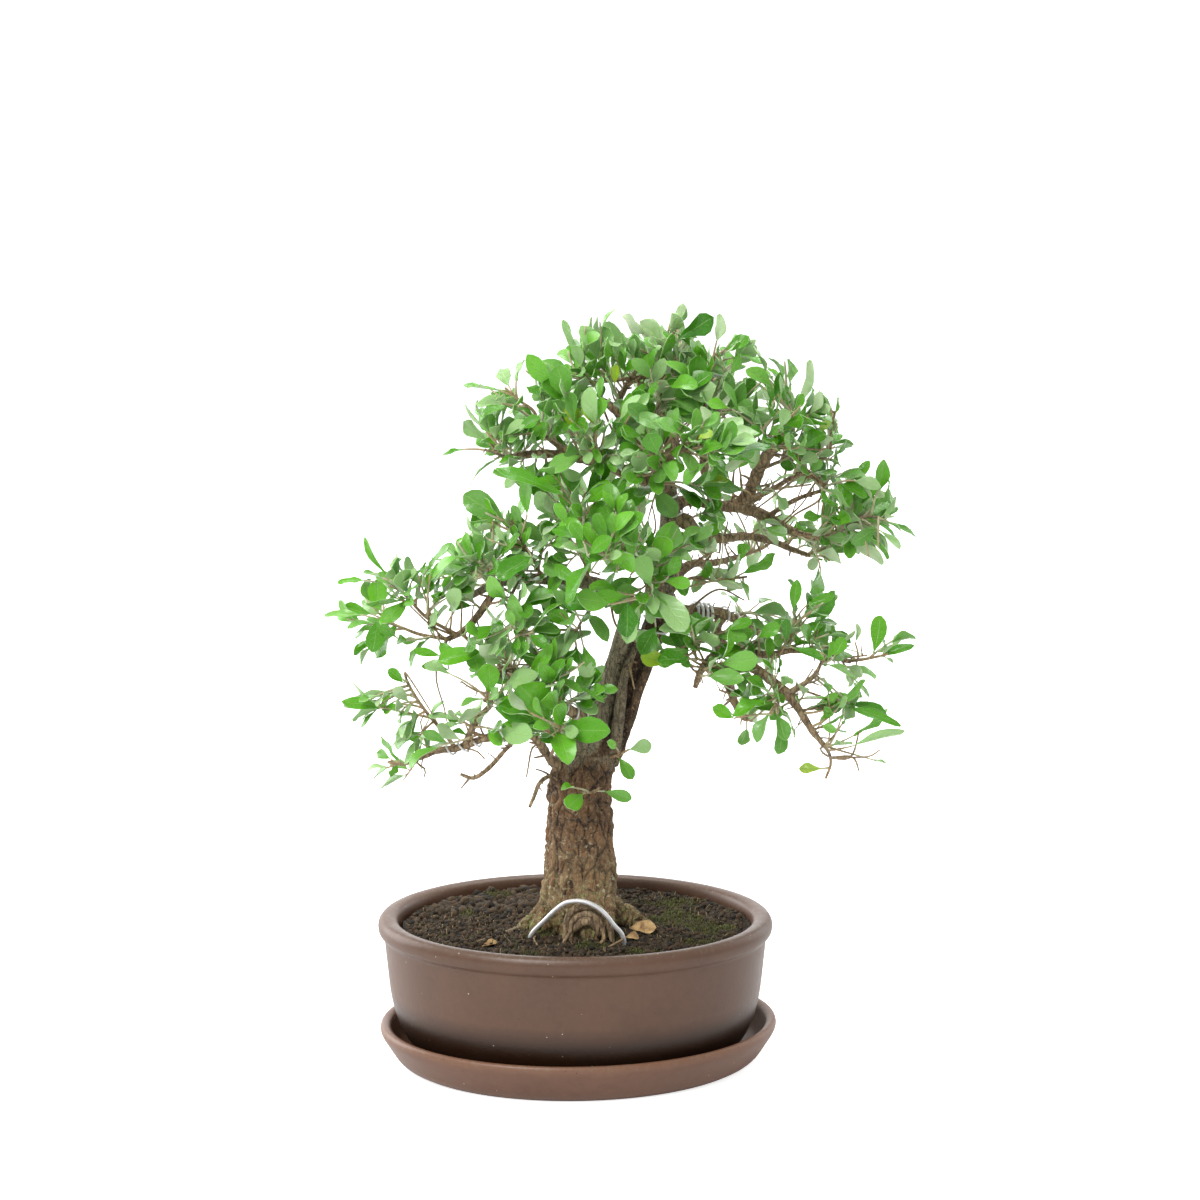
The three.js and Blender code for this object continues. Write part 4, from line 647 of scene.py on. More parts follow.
        "leafyRightRear": ("rightMidA", 0.7, [(110, 40, 289), (118, 50, 287)],
            [(131, 42, 288, 26, 1.4), (134, 30, 282, 18), (97, 62, 301, 20), (127, 80, 292, 20),
             (148, 74, 273, 20), (109, 68, 258, 18)], [(142, 36, 269, 18)]),
        "leafyRightUp": ("rightMidB", 0.55, [(136, -10, 282), (140, -10, 295)],
            [(140, -12, 321, 24, 1.2), (167, -4, 310, 26, 0.8), (167, 2, 292, 16),
             (177, 12, 279, 26, 0.9), (161, -32, 275, 34, 0.8)], [(126, -30, 285, 16)]),
        "leafyRightFar": ("rightMidB", 1, [(185, -2, 267), (199, -10, 272)],
            [(197, 6, 294, 26), (173, 10, 287, 14), (166, -22, 276, 26, 0.6), (215, -12, 278, 22, 0.7)],
            [(196, -18, 282, 10), (203, -4, 265, 8), (177, 14, 250, 14)]),
        "leafyRightDown": ("rightLowA", 1, [(161, -28, 211), (162, -26, 203), (159, -25, 194)],
            [(208, -34, 229, 36, 0.5), (201, -22, 237, 28, 0.6), (179, -32, 251, 22, 1.2),
             (174, -44, 222, 18), (142, -26, 201, 14), (199, -18, 202, 10)],
            [(157, -44, 265, 14), (171, -38, 250, 16)]),
        "leafyRightHang": ("rightLowA", 0.42, [(128, -34, 247), (123, -42, 240)],
            [(112, -50, 225, 20, 1.1), (132, -56, 226, 20), (141, -46, 228, 22), (98, -44, 242, 24)],
            [(130, -36, 276, 14), (134, -44, 265, 11, 1.3)]),
        "leafyRightLowBack": ("rightLowBack", 1, [(114, 28, 219)],
            [(91, 30, 225, 14, 1.2), (128, 48, 229, 18), (110, 44, 201, 16)], [])}},
}

lineSteps = 200


def between(low, high, share):
    return low + (high - low) * share


def held(value, low, high):
    return min(max(value, low), high)


# The shares of a number of equal steps from a low to a high one
def sharesOf(count, low=0, high=1):
    return [between(low, high, step / count) for step in range(count + 1)]


# The same repeatable draws between 0 and 1 that placed the leaves of the solids
def seededDraw(seed):
    state = seed

    def draw():
        nonlocal state
        state = (state + 0x6D2B79F5) & 0xFFFFFFFF
        mixed = ((state ^ (state >> 15)) * (1 | state)) & 0xFFFFFFFF
        mixed = ((mixed + (((mixed ^ (mixed >> 7)) * (61 | mixed)) & 0xFFFFFFFF)) ^ mixed) & 0xFFFFFFFF
        return (mixed ^ (mixed >> 14)) / 4294967296

    return draw


# A smooth line through points (x, y, z, radius), measured along its length
def makeLine(points):
    line = {"knots": [Vector(point[:3]) for point in points], "radii": [point[3] for point in points]}
    spots = [pointAtTime(line, step / lineSteps) for step in range(lineSteps + 1)]
    line["reached"] = [0.0]
    for spot, following in zip(spots, spots[1:]):
        line["reached"].append(line["reached"][-1] + (following - spot).length)
    return line


# A line whose thickness goes evenly from one end's to the other's
def taperedLine(points, thick, thin):
    last = len(points) - 1
    return makeLine([(*point, between(thick, thin, step / last)) for step, point in enumerate(points)])


def pointAtTime(line, time):
    knots = line["knots"]
    last = len(knots) - 1
    low = min(int(time * last), last - 1)
    weight = time * last - low
    start, end = knots[low], knots[low + 1]
    before = knots[low - 1] if low > 0 else 2 * knots[0] - knots[1]
    after = knots[low + 2] if low + 2 <= last else 2 * knots[last] - knots[last - 1]
    gaps = [math.sqrt((b - a).length) for a, b in ((before, start), (start, end), (end, after))]
    between0, between1 = gaps[0] + gaps[1], gaps[1] + gaps[2]
    leaving = (start - before) / gaps[0] - (end - before) / between0 + (end - start) / gaps[1]
    arriving = (end - start) / gaps[1] - (after - start) / between1 + (after - end) / gaps[2]
    leaving, arriving = leaving * gaps[1], arriving * gaps[1]
    bend = -3 * start + 3 * end - 2 * leaving - arriving
    twist = 2 * start - 2 * end + leaving + arriving
    return start + leaving * weight + bend * weight ** 2 + twist * weight ** 3


def timeAt(line, share):
    reached = line["reached"]
    target = share * reached[-1]
    low = min(bisect.bisect_right(reached, target) - 1, lineSteps - 1)
    return (low + (target - reached[low]) / (reached[low + 1] - reached[low])) / lineSteps


def pointAt(line, share):
    return pointAtTime(line, timeAt(line, share))


def tangentAt(line, share):
    time = timeAt(line, share)
    early, late = max(time - 0.001, 0), min(time + 0.001, 1)
    return (pointAtTime(line, late) - pointAtTime(line, early)).normalized()


def radiusAt(line, share):
    radii = line["radii"]
    along = timeAt(line, share) * (len(radii) - 1)
    low = min(int(along), len(radii) - 2)
    return radii[low] + (radii[low + 1] - radii[low]) * (along - low)


def lengthOf(line):
    return line["reached"][-1]


# The points of a stretch of a line, each with its radius
def stemPath(line, spacing, low=0, high=1):
    count = max(int(lengthOf(line) * (high - low) / spacing), 2)
    return [(pointAt(line, share), radiusAt(line, share)) for share in sharesOf(count, low, high)]


# A quadratic curve from a start past a middle to an end
def bendPoint(bend, share):
    start, middle, end = bend
    return start * (1 - share) ** 2 + middle * 2 * share * (1 - share) + end * share ** 2


def bendTangent(bend, share):
    start, middle, end = bend
    return ((middle - start) * (1 - share) + (end - middle) * share).normalized()


# A direction square to a tangent, turned about it
def outwardOf(tangent, turn):
    side = tangent.orthogonal().normalized()
    return side * math.cos(turn) + tangent.cross(side) * math.sin(turn)


def treeOf(spots):
    tree = KDTree(len(spots))
    for index, spot in enumerate(spots):
        tree.insert(spot, index)
    tree.balance()
    return tree


lines = {name: makeLine(points) for name, points in branchPoints.items()}
lines["trunk"] = makeLine(trunkPoints)


def linked(name, data):
    made = bpy.data.objects.new(name, data)
    bpy.context.collection.objects.link(made)
    return made


def meshOf(name, bm):
    mesh = bpy.data.meshes.new(name)
    bm.to_mesh(mesh)
    bm.free()
    return mesh


# The mesh that a curve or a modifier makes of an object, in place of the object
def shapedMesh(holder):
    graph = bpy.context.evaluated_depsgraph_get()
    mesh = bpy.data.meshes.new_from_object(holder.evaluated_get(graph))
    bpy.data.objects.remove(holder)
    return mesh


def weld(bm):
    bmesh.ops.remove_doubles(bm, verts=bm.verts, dist=1e-6)
    bmesh.ops.recalc_face_normals(bm, faces=bm.faces)


# Round rods along many paths, made as one mesh. A path is a list of (point, radius).
def rodMesh(paths, resolution):
    curve = bpy.data.curves.new("rods", "CURVE")
    curve.dimensions = "3D"
    curve.bevel_depth = millimetre
    curve.bevel_resolution = resolution
    curve.use_fill_caps = True
    for path in paths:
        spline = curve.splines.new("POLY")
        spline.points.add(len(path) - 1)
        for point, (place, radius) in zip(spline.points, path):
            point.co = (*(place * millimetre), 1)
            point.radius = radius
    mesh = shapedMesh(linked("rods", curve))
    bpy.data.curves.remove(curve)
    bm = bmesh.new()
    bm.from_mesh(mesh)
    weld(bm)
    bm.to_mesh(mesh)
    bm.free()
    return mesh


def addMesh(bm, mesh, materialIndex):
    for polygon in mesh.polygons:
        polygon.material_index = materialIndex
    bm.from_mesh(mesh)
    bpy.data.meshes.remove(mesh)


# A new bmesh with a modifier's work done
def shapedBy(bm, kind, **settings):
    unshaped = meshOf("unshaped", bm)
    holder = linked("unshaped", unshaped)
    modifier = holder.modifiers.new("shape", kind)
    for setting, value in settings.items():
        setattr(modifier, setting, value)
    shaped = shapedMesh(holder)
    bpy.data.meshes.remove(unshaped)
    result = bmesh.new()
    addMesh(result, shaped, 0)
    return result


# A piece of the object from a bmesh: smooth, riding on the one body, with its materials, and with the
# solids it replaces hidden
def makePiece(name, bm, materials, replaced=()):
    mesh = meshOf(name, bm)
    for polygon in mesh.polygons:
        polygon.use_smooth = True
    for material in materials:
        mesh.materials.append(material)
    piece = linked(name, mesh)
    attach(piece, "root")
    if replaced:
        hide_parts(*replaced)
    return piece

crownAxis = Vector((45, 0, 0))
leafThickness = 0.7
shootSpacing = 2.5
shootSpan = (0.1, 0.98)
shootRise = 0.08
twigLifts = (0, 0.15, -0.15, 0.3, -0.3)
leans = [
    (0, 0, 0), (0.4, 0, 0), (-0.4, 0, 0), (0, 0.3, 0), (0, -0.3, 0), (0, 0, 0.35), (0, 0, -0.35),
    (0.5, 0.3, 0.3), (-0.5, 0.3, -0.3), (0.5, -0.3, -0.3), (-0.5, -0.3, 0.3), (0.9, 0, 0),
    (-0.9, 0, 0), (0, 0.6, 0), (0, -0.6, 0), (0, 0.3, 0.7), (0, 0.3, -0.7),
]


def nearestShare(line, point):
    return min(sharesOf(20), key=lambda share: (pointAt(line, share) - point).length)


# Where along a stem the shoots of its leaves start
def shootStarts(stem, tips):
    length = lengthOf(stem)
    wanted = []
    for index, tip in enumerate(tips):
        nearest = nearestShare(stem, tip)
        share = nearest - 0.35 * (pointAt(stem, nearest) - tip).length / length
        wanted.append((index, held(share, 0.25, shootSpan[1])))
    wanted.sort(key=lambda item: (-item[1], item[0]))
    spacing = min(shootSpacing, 0.7 * length / len(tips)) / length
    starts, ceiling = {}, shootSpan[1]
    for index, share in wanted:
        starts[index] = max(min(share, ceiling), shootSpan[0])
        ceiling = starts[index] - spacing
    return starts


# A point on the straight stretches of a solid stem's centre line
def rodPoint(line, share):
    steps = len(line["knots"]) - 1
    low = min(int(share * steps), steps - 1)
    return pointAt(line, low / steps).lerp(pointAt(line, (low + 1) / steps), share * steps - low)


def shootBend(stem, share, tip, lift):
    start = rodPoint(stem, share)
    reach = (start - tip).length
    middle = start + tangentAt(stem, share) * 0.3 * reach
    middle = middle.lerp(start.lerp(tip, 0.5), 0.5)
    middle.z += (shootRise + lift) * reach
    return start, middle, tip


def leafStart(bend, length):
    share = 1
    while share > 0 and (bendPoint(bend, share) - bend[2]).length < length:
        share -= 0.02
    return max(share, 0)


def awayFromAxis(spot):
    return Vector((spot.x - crownAxis.x, spot.y - crownAxis.y, 0)).normalized()


# A direction made square to the way a leaf points
def squareTo(pointing, facing):
    return (facing - pointing * pointing.dot(facing)).normalized()


# Where a leaf sits: its root, the way it points and the way its upper face looks
def leafFrame(root, tip, draws):
    pointing = (tip - root).normalized()
    facing = Vector([value - 0.5 for value in draws]) * 0.9 + awayFromAxis(tip) * 0.55
    facing.z += 0.6
    return root, pointing, squareTo(pointing, facing)


# The leaf's matrix, with a lean of three angles: roll, lift and swing
def leafMatrix(leafPlace, lean=(0, 0, 0)):
    root, pointing, facing = leafPlace
    basis = Matrix((pointing.cross(facing), pointing, facing)).transposed()
    for axis, angle in zip("ZXY", reversed(lean)):
        basis = basis @ Matrix.Rotation(angle, 3, axis)
    return Matrix.Translation(root) @ basis.to_4x4()


# A leaf's width and arch from its length, how broad it is and two draws
def leafShape(length, broad, draws):
    return {"length": length, "width": length * broad * between(0.5, 0.66, draws[0]),
            "arch": between(0.04, 0.16, draws[1])}


# The twig bend and lean whose leaf tip is found among the solid spray's own vertices
def solidLeaf(stem, share, plan, draws, cadPoints):
    tip, length, broad = Vector(plan[:3]), plan[3], (*plan, 1)[4]
    shape = leafShape(length, broad, draws)
    tipWidth = shape["width"] * math.sin(0.86 * math.pi)
    corners = [Vector((x * tipWidth, length, z * leafThickness - shape["arch"] * length))
               for x in (-0.5, 0.5) for z in (-0.5, 0.5)]
    best = None
    for lift in twigLifts:
        bend = shootBend(stem, share, tip, lift)
        until = leafStart(bend, length)
        place = leafFrame(bendPoint(bend, until), tip, draws[2:])
        for lean in leans:
            matrix = leafMatrix(place, lean)
            miss = max(cadPoints.find(matrix @ corner)[2] for corner in corners)
            if best is None or miss < best["miss"] - 1e-4:
                best = {"miss": miss, "bend": bend, "until": until, "matrix": matrix}
    shape["width"] *= leafLook["narrow"]
    return best | shape

leafLook = {
    "rows": (0, 0.09, 0.24, 0.42, 0.6, 0.77, 0.91, 1),
    "spoon": (0.06, 0.1, 0.36, 0.7, 0.95, 0.99, 0.72, 0.16),
    "oval": (0.06, 0.18, 0.58, 0.9, 1.0, 0.82, 0.44, 0.06),
    "columns": {"fine": 4, "light": 2},
    "thickness": 0.4,
    "narrow": 0.86,
    "cup": (0.05, 0.75),
    "wave": (0.02, 0.14),
    "curl": (-0.2, 0.2),
    "twist": 0.7,
    "sway": 0.08,
    "oldShare": 0.02,
    # Share of pale downy leaves, which are partly a painted sheen
    "downyAndSheenShare": 0.2,
    "upturnedShare": 0.52,
    "shootThickness": (0.85, 0.5),
    "twigThickness": (0.95, 0.55),
    "stemThickness": (1.35, 0.8),
}


# A flat leaf, one unit long and wide, that every leaf is a shaped copy of
def makeLeafPad(columns):
    pad = bmesh.new()
    rows = len(leafLook["rows"]) - 1
    bmesh.ops.create_grid(pad, x_segments=columns, y_segments=rows, size=0.5)
    uvLayer = pad.loops.layers.uv.new("UVMap")
    for face in pad.faces:
        for loop in face.loops:
            loop[uvLayer].uv = (loop.vert.co.x + 0.5, loop.vert.co.y + 0.5)
    bmesh.ops.solidify(pad, geom=pad.faces[:], thickness=0.1)
    bmesh.ops.recalc_face_normals(pad, faces=pad.faces)
    heights = [vert.co.z for vert in pad.verts]
    middle = (min(heights) + max(heights)) / 2
    toneLayer = pad.verts.layers.float_color.new("leafTone")
    for edge in pad.edges:  # sharp only where a face meets the thin rim
        rimSheenAndDust = [abs(face.normal.z) < 0.5 for face in edge.link_faces]
        edge.smooth = all(rimSheenAndDust) or not any(rimSheenAndDust)
    marks = [(vert.co.x * 2, round((vert.co.y + 0.5) * rows), 1 if vert.co.z > middle else 0)
             for vert in pad.verts]
    return pad, marks, toneLayer


leafPads = {kind: makeLeafPad(columns) for kind, columns in leafLook["columns"].items()}
padMesh = bpy.data.meshes.new("leafPad")


# One leaf's surface: its points at (side, row) as a curved, cupped and slightly wavy blade
def leafSurface(leaf, side, row):
    along = leafLook["rows"][row]
    half = between(leafLook["oval"][row], leafLook["spoon"][row], leaf["spoon"]) * leaf["width"] / 2
    belly = math.sin(math.pi * min(along * 1.05, 1))
    height = leaf["cup"] * half * abs(side) ** 1.2 * belly
    height -= leaf["arch"] * leaf["length"] * along ** 2
    height += leaf["curl"] * leaf["length"] * max(along - 0.6, 0) ** 2 * 4
    ripple = math.sin(2 * math.pi * (1.7 * along + leaf["phase"]) + 2 * side)
    height += leaf["wave"] * leaf["width"] * ripple * side ** 2
    height += leaf["twist"] * along * side * half
    aside = side * half + leaf["sway"] * leaf["length"] * along ** 2
    return Vector((aside, along * leaf["length"], height))


def addLeaf(bm, leaf, kind="fine"):
    pad, marks, tone = leafPads[kind]
    facing = leaf["matrix"].to_3x3() @ Vector((0, 0, 1))
    # some leaves of the front half have their green side to the front
    upturned = leaf["upturned"] and facing.y > 0.19 * facing.z and leaf["matrix"].translation.y < 5
    for vert, (side, row, upper) in zip(pad.verts, marks):
        place = leafSurface(leaf, side, row)
        place.z += (upper - 0.5) * leafLook["thickness"]
        place = leaf["matrix"] @ place
        for axis in range(3):  # no leaf reaches past the solids
            place[axis] = held(place[axis], solidLow[axis], solidHigh[axis])
        vert.co = place * millimetre
        vert[tone] = (leaf["tint"], 1 - upper if upturned else upper, leaf["age"], leaf["bloom"])
    pad.to_mesh(padMesh)
    bm.from_mesh(padMesh)


# The character of one leaf
def dressLeaf(leaf, draw, tint):
    for trait in ("cup", "wave", "curl"):
        leaf[trait] = between(*leafLook[trait], draw())
    for trait in ("twist", "sway"):
        leaf[trait] = leafLook[trait] * (draw() - 0.5)
    leaf["phase"], leaf["spoon"] = draw(), draw()
    leaf["tint"] = held(tint + 0.5 * (draw() - 0.5), 0, 1)
    leaf["age"] = 1 if draw() < leafLook["oldShare"] and leaf["length"] < 20 else 0.25 * draw()
    # A pale downy look, partly a painted sheen
    leaf["bloom"] = 1 if draw() < leafLook["downyAndSheenShare"] else 0.5 * draw() ** 3
    leaf["upturned"] = draw() < leafLook["upturnedShare"]
    return leaf


def leafSamples(leaf):
    spots = [leafSurface(leaf, side, row) for row in range(2, 7) for side in (-0.9, -0.3, 0.3, 0.9)]
    spots.append(leafSurface(leaf, 0, 7))
    return np.array([leaf["matrix"] @ spot for spot in spots])


solidLow, solidHigh = (np.array(corner) / millimetre for corner in solidBounds)


def insideBox(samples):
    return (samples > solidLow + 1).all() and (samples < solidHigh - 1).all()


# Points that a new leaf has to keep clear of, with the reach of each: leaves, and wood along its lines
class Crowd:
    def __init__(self):
        self.spots = np.empty((0, 3))
        self.reaches = np.empty(0)

    def add(self, spots, reach=0):
        self.spots = np.vstack([self.spots, spots])
        self.reaches = np.append(self.reaches, np.broadcast_to(reach, len(spots)))

    def backTo(self, count):
        self.spots, self.reaches = self.spots[:count], self.reaches[:count]

    # How far the nearest of them is from the samples, up to 5
    def room(self, samples):
        low, high = samples.min(axis=0) - 12, samples.max(axis=0) + 12
        near = ((self.spots > low) & (self.spots < high)).all(axis=1)
        if not near.any():
            return 5
        away = np.linalg.norm(self.spots[near][None] - samples[:, None], axis=2)
        return min((away - self.reaches[near][None]).min(), 5)


crowd = Crowd()
for line in lines.values():
    path = stemPath(line, 3)
    crowd.add(np.array([spot for spot, _ in path]), np.array([radius for _, radius in path]))

fillTwigs = {
    "rounds": 4,
    "spacing": 6.5,
    "length": (8, 32),
    "leaves": (3, 7),
    "leafLength": (13, 27),
    "slim": (0.42, 0.62),
    "petiole": (1.2, 2.6),
    "clear": 1.5,
    "reach": (15, 26),
    "bareBranch": {"stemLeft": 0.62, "stemRight": 0.5, "ridge": 1, "trunk": 1},
    "bareSprays": ("leafyTrunkRight", "leafyTrunkFront"),
    "thicketLeaves": 7,
    "thicketClear": 0.9,
    "eye": (15.1, 2000, 691),
    "poseShifts": (0, -4, 4, -8),
    "poseClear": 1,
    "extraClear": 0.8,
    "baseThickness": (0.55, 0.48, 0.4),
}
# Gaps that show in the crown from the front, as they lie in its middle plane: x, z and reach
crownGaps = [
    (-42, 464, 7), (-20, 469, 8), (-12, 475, 5), (29, 486, 5), (79, 483, 8), (108, 483, 7),
    (128, 469, 11), (154, 465, 10), (150, 448, 7), (172, 431, 8), (175, 397, 7), (-68, 437, 6),
    (-69, 415, 7), (-66, 399, 7), (-80, 376, 14), (-55, 383, 8), (-80, 354, 8), (-88, 341, 5),
    (-128, 331, 8), (-146, 315, 5), (-103, 338, 5), (-122, 341, 5), (-126, 256, 9), (-130, 213, 8),
    (-138, 202, 7), (-123, 226, 6), (101, 338, 10), (136, 327, 6), (165, 321, 8), (181, 328, 7),
    (120, 312, 13), (140, 305, 7), (174, 299, 9), (194, 287, 8), (211, 263, 7), (210, 360, 6),
    (143, 263, 11), (163, 251, 7), (63, 253, 8), (76, 254, 5), (92, 238, 7), (108, 220, 6),
    (95, 225, 5), (145, 203, 10), (-97, 253, 8), (-87, 246, 9), (-75, 240, 7), (-56, 246, 6),
    (27, 199, 9), (46, 205, 6), (18, 292, 7), (9, 272, 5), (92, 331, 5), (89, 305, 10),
    (208, 246, 7), (187, 312, 8), (210, 305, 9), (-87, 367, 9), (-112, 357, 9), (-151, 331, 8),
    (-152, 279, 9), (-113, 269, 7), (-149, 233, 8), (79, 226, 9), (66, 240, 9), (-3, 484, 7),
    (9, 486, 4), (40, 491, 6), (55, 491, 6), (89, 473, 6), (-48, 450, 8), (-32, 441, 5),
    (-80, 397, 13), (-91, 395, 9), (-83, 415, 8), (165, 439, 8), (174, 415, 6), (145, 452, 5),
    (103, 330, 7), (120, 336, 6), (136, 334, 6), (149, 328, 6), (124, 301, 7), (179, 301, 7),
    (-113, 291, 6), (-101, 286, 6), (-90, 282, 6), (-78, 279, 5), (-84, 292, 6), (-98, 296, 6),
    (-135, 331, 6), (122, 392, 5), (119, 370, 7), (138, 365, 6), (148, 373, 6), (150, 360, 5),
    (105, 384, 5), (107, 357, 5), (-68, 370, 7), (-148, 315, 5), (-45, 370, 5), (198, 246, 9),
    (207, 305, 9), (50, 357, 4), (-78, 263, 5), (-69, 210, 7), (-129, 269, 5), (15, 289, 5)]
# Places where small leaves stand close together: x, y and z
crownThickets = [
    (34, -36, 328), (26, -44, 333), (46, -24, 364), (45, -30, 375), (-6, -50, 336), (-15, -52, 339),
    (-82, -40, 316), (-92, -38, 319), (-64, -34, 280), (-76, -34, 283), (9, -32, 253), (4, -36, 248),
    (78, -24, 382), (70, -20, 379), (109, -28, 406), (104, -26, 398), (81, -26, 342), (82, -22, 365),
    (-35, -30, 397), (-10, -34, 397), (-19, -32, 396), (91, -22, 256), (107, -22, 254),
    (72, -26, 267), (64, -24, 267), (-129, -30, 282), (-20, -40, 249), (-23, -36, 225),
    (-10, -38, 222), (-67, -36, 312), (15, -10, 484), (6, -14, 482), (130, -24, 461), (176, -4, 383),
    (192, -4, 379), (-20, -40, 270), (1, -40, 278), (-21, -26, 205), (191, -14, 342),
    (185, -14, 336), (-66, -44, 330), (15, -50, 340), (40, -36, 347), (-47, -44, 339),
    (96, -30, 394), (71, -34, 347), (-111, -40, 241), (-124, -38, 248), (-133, -36, 246),
    (-73, -24, 393), (-101, -20, 398), (-26, -44, 288), (-21, -42, 278), (31, -30, 329),
    (40, -26, 325), (15, -30, 327), (94, -10, 341), (72, -16, 342), (108, 10, 310), (72, -10, 308),
    (9, -34, 280), (87, -24, 399), (99, -26, 418), (99, -24, 429), (-29, -26, 408), (-41, -26, 408),
    (-26, -24, 393), (-76, -44, 306), (-82, -44, 314), (-105, -36, 234), (-99, -34, 224),
    (-76, -40, 237), (-124, -34, 244), (126, -24, 237), (150, -24, 241), (188, 0, 291),
    (81, -30, 267), (40, -22, 309), (-1, -40, 318)]


# Big leaves of the solids that turn their upper face towards the front
facedLeaves = {("leafyLowBig", 0): (-0.1, -1, 0.35), ("leafyLowBig", 2): (0.1, -1, 0.3),
               ("leafyFrontLow", 0): (0.3, -0.8, 0.6)}
facedSprays = {"leafyTrunkFront": (0.1, -1, 0.3), "leafyTrunkRight": (0.2, -1, 0.2)}
# Leaves that stand out at the front: spray, base, tip, width, the way the upper face looks, and tint
posedLeaves = [
    ("leafyLowBig", (-24, -70, 241), (-47, -76, 254), 14, (0.2, -1, 0.3), 0.3),
    ("leafyMidLeft", (22, -64, 315), (-5, -70, 317), 14, (0, -0.8, 0.6), 0.2),
    ("leafyMidUnder", (32, -66, 317), (32, -72, 296), 15, (0.3, -1, 0.1), 0.15),
    ("leafyFrontMid", (34, -80, 342), (34, -84, 372), 9.5, (0.1, -1, 0.1), 0.95),
    ("leafyFrontMid", (9, -76, 337), (5, -82, 367), 10, (-0.3, -1, 0.2), 0.4),
    ("leafyPaleShoot", (71, -46, 276), (52, -54, 278), 13, (0, -0.7, 0.7), 0.25),
    ("leafyPaleShoot", (50, -46, 297), (40, -54, 281), 13, (0.3, -1, 0.3), 0.3),
    ("leafyFrontMid", (-8, -74, 385), (-48, -80, 405), 12, (0.2, -0.6, 0.8), 0.45),
    ("leafyMidLeft", (-27, -66, 345), (-48, -76, 334), 14, (-0.2, -0.8, 0.6), 0.3),
    ("leafyFrontCrown", (50, -74, 410), (45, -80, 424), 13, (-0.2, -0.9, 0.4), 0.4),
    ("leafyFrontPale", (83, -84, 409), (117, -90, 420), 13, (0.1, -0.5, 0.9), 0.15),
    ("leafyPadTip", (-124, -40, 305), (-124, -44, 326), 13, (0, -1, 0.1), 0.8),
    ("leafyPadTip", (-124, -40, 301), (-127, -44, 280), 12, (0.1, -1, 0.2), 0.35),
    ("leafyRightDown", (170, -36, 244), (205, -44, 235), 7, (0.1, -0.7, 0.7), 0.4),
    ("leafyRightDown", (173, -34, 245), (199, -30, 239), 7.5, (0.3, -0.5, 0.8), 0.3),
    ("leafyTopLeader", (64, -4, 473), (86, -8, 487), 13, (0.1, -0.9, -0.3), 0.15),
    ("leafyPadUnder", (-58.2, -44, 282), (-85.1, -50, 276.7), 12, (0, -1, 0.5), 0.75),
    ("leafyPadUnder", (-84.8, -42, 278.5), (-102, -44, 282), 6, (0, -0.8, 0.6), 0.7),
    ("leafyLowUp", (-80.1, -42, 268.8), (-96.5, -44, 271.7), 8, (0, -0.8, 0.6), 0.5),
    ("leafyLowUp", (-108.6, -38, 259.1), (-117.6, -40, 268.4), 7, (0.1, -1, 0.3), 0.5),
    ("leafyLowBig", (-30.3, -58, 266.1), (-15.8, -64, 289.2), 9, (0.2, -1, 0.2), 0.8),
    ("leafyLowTip", (-120.6, -34, 243.5), (-147.5, -38, 248.9), 8, (0, -0.9, 0.5), 0.6),
    ("leafyRightUp", (137.1, -22, 302.8), (139, -24, 322.1), 8, (0, -1, 0.2), 0.5),
    ("leafyRightUp", (146.1, -22, 306.3), (162.8, -24, 312.9), 6.5, (0, -1, 0.4), 0.5),
    ("leafyRightUp", (115.5, -26, 285.8), (127.6, -30, 295.2), 9.5, (0, -1, 0.3), 0.55),
    ("leafyRightUp", (133.1, -24, 282.4), (132.7, -28, 297.5), 6.5, (0, -1, 0.1), 0.2),
    ("leafyRightDown", (134.8, -26, 281.7), (157.7, -30, 275.3), 6.5, (0, -0.8, 0.6), 0.35),
    ("leafyRightHang", (100.3, -24, 233.1), (87.4, -28, 241), 9, (0, -1, 0.3), 0.8),
]


# A leaf's matrix with the leaf rolled about its own midrib until it faces a way
def turnedTo(matrix, facing):
    pointing = matrix.to_3x3() @ Vector((0, 1, 0))
    return leafMatrix((matrix.translation, pointing, squareTo(pointing, Vector(facing))))


# Every leaf and twig of one spray as the solids have it
def growSpray(index, name, tint, limb, at, stemPoints, leafPlans):
    root = pointAt(lines[limb], min(at, shootSpan[1]))
    stem = taperedLine([root, *stemPoints], *leafLook["stemThickness"])
    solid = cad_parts[name]
    cadPoints = treeOf([vert.co / millimetre for vert in solid.data.vertices])
    draw, dress = seededDraw(seeds["solid"] + index), seededDraw(seeds["dress"] + index)
    starts = shootStarts(stem, [Vector(plan[:3]) for plan in leafPlans])
    leaves = []
    for number, leafPlan in enumerate(leafPlans):
        leaf = solidLeaf(stem, starts[number], leafPlan, [draw() for _ in range(5)], cadPoints)
        misses.append(leaf["miss"])
        facing = facedLeaves.get((name, number), facedSprays.get(name))
        if facing:
            leaf["matrix"] = turnedTo(leaf["matrix"], facing)
        leaves.append(dressLeaf(leaf, dress, tint))
        crowd.add(leafSamples(leaf))
    return {"stem": stem, "leaves": leaves, "twigs": [], "tint": tint, "index": index}


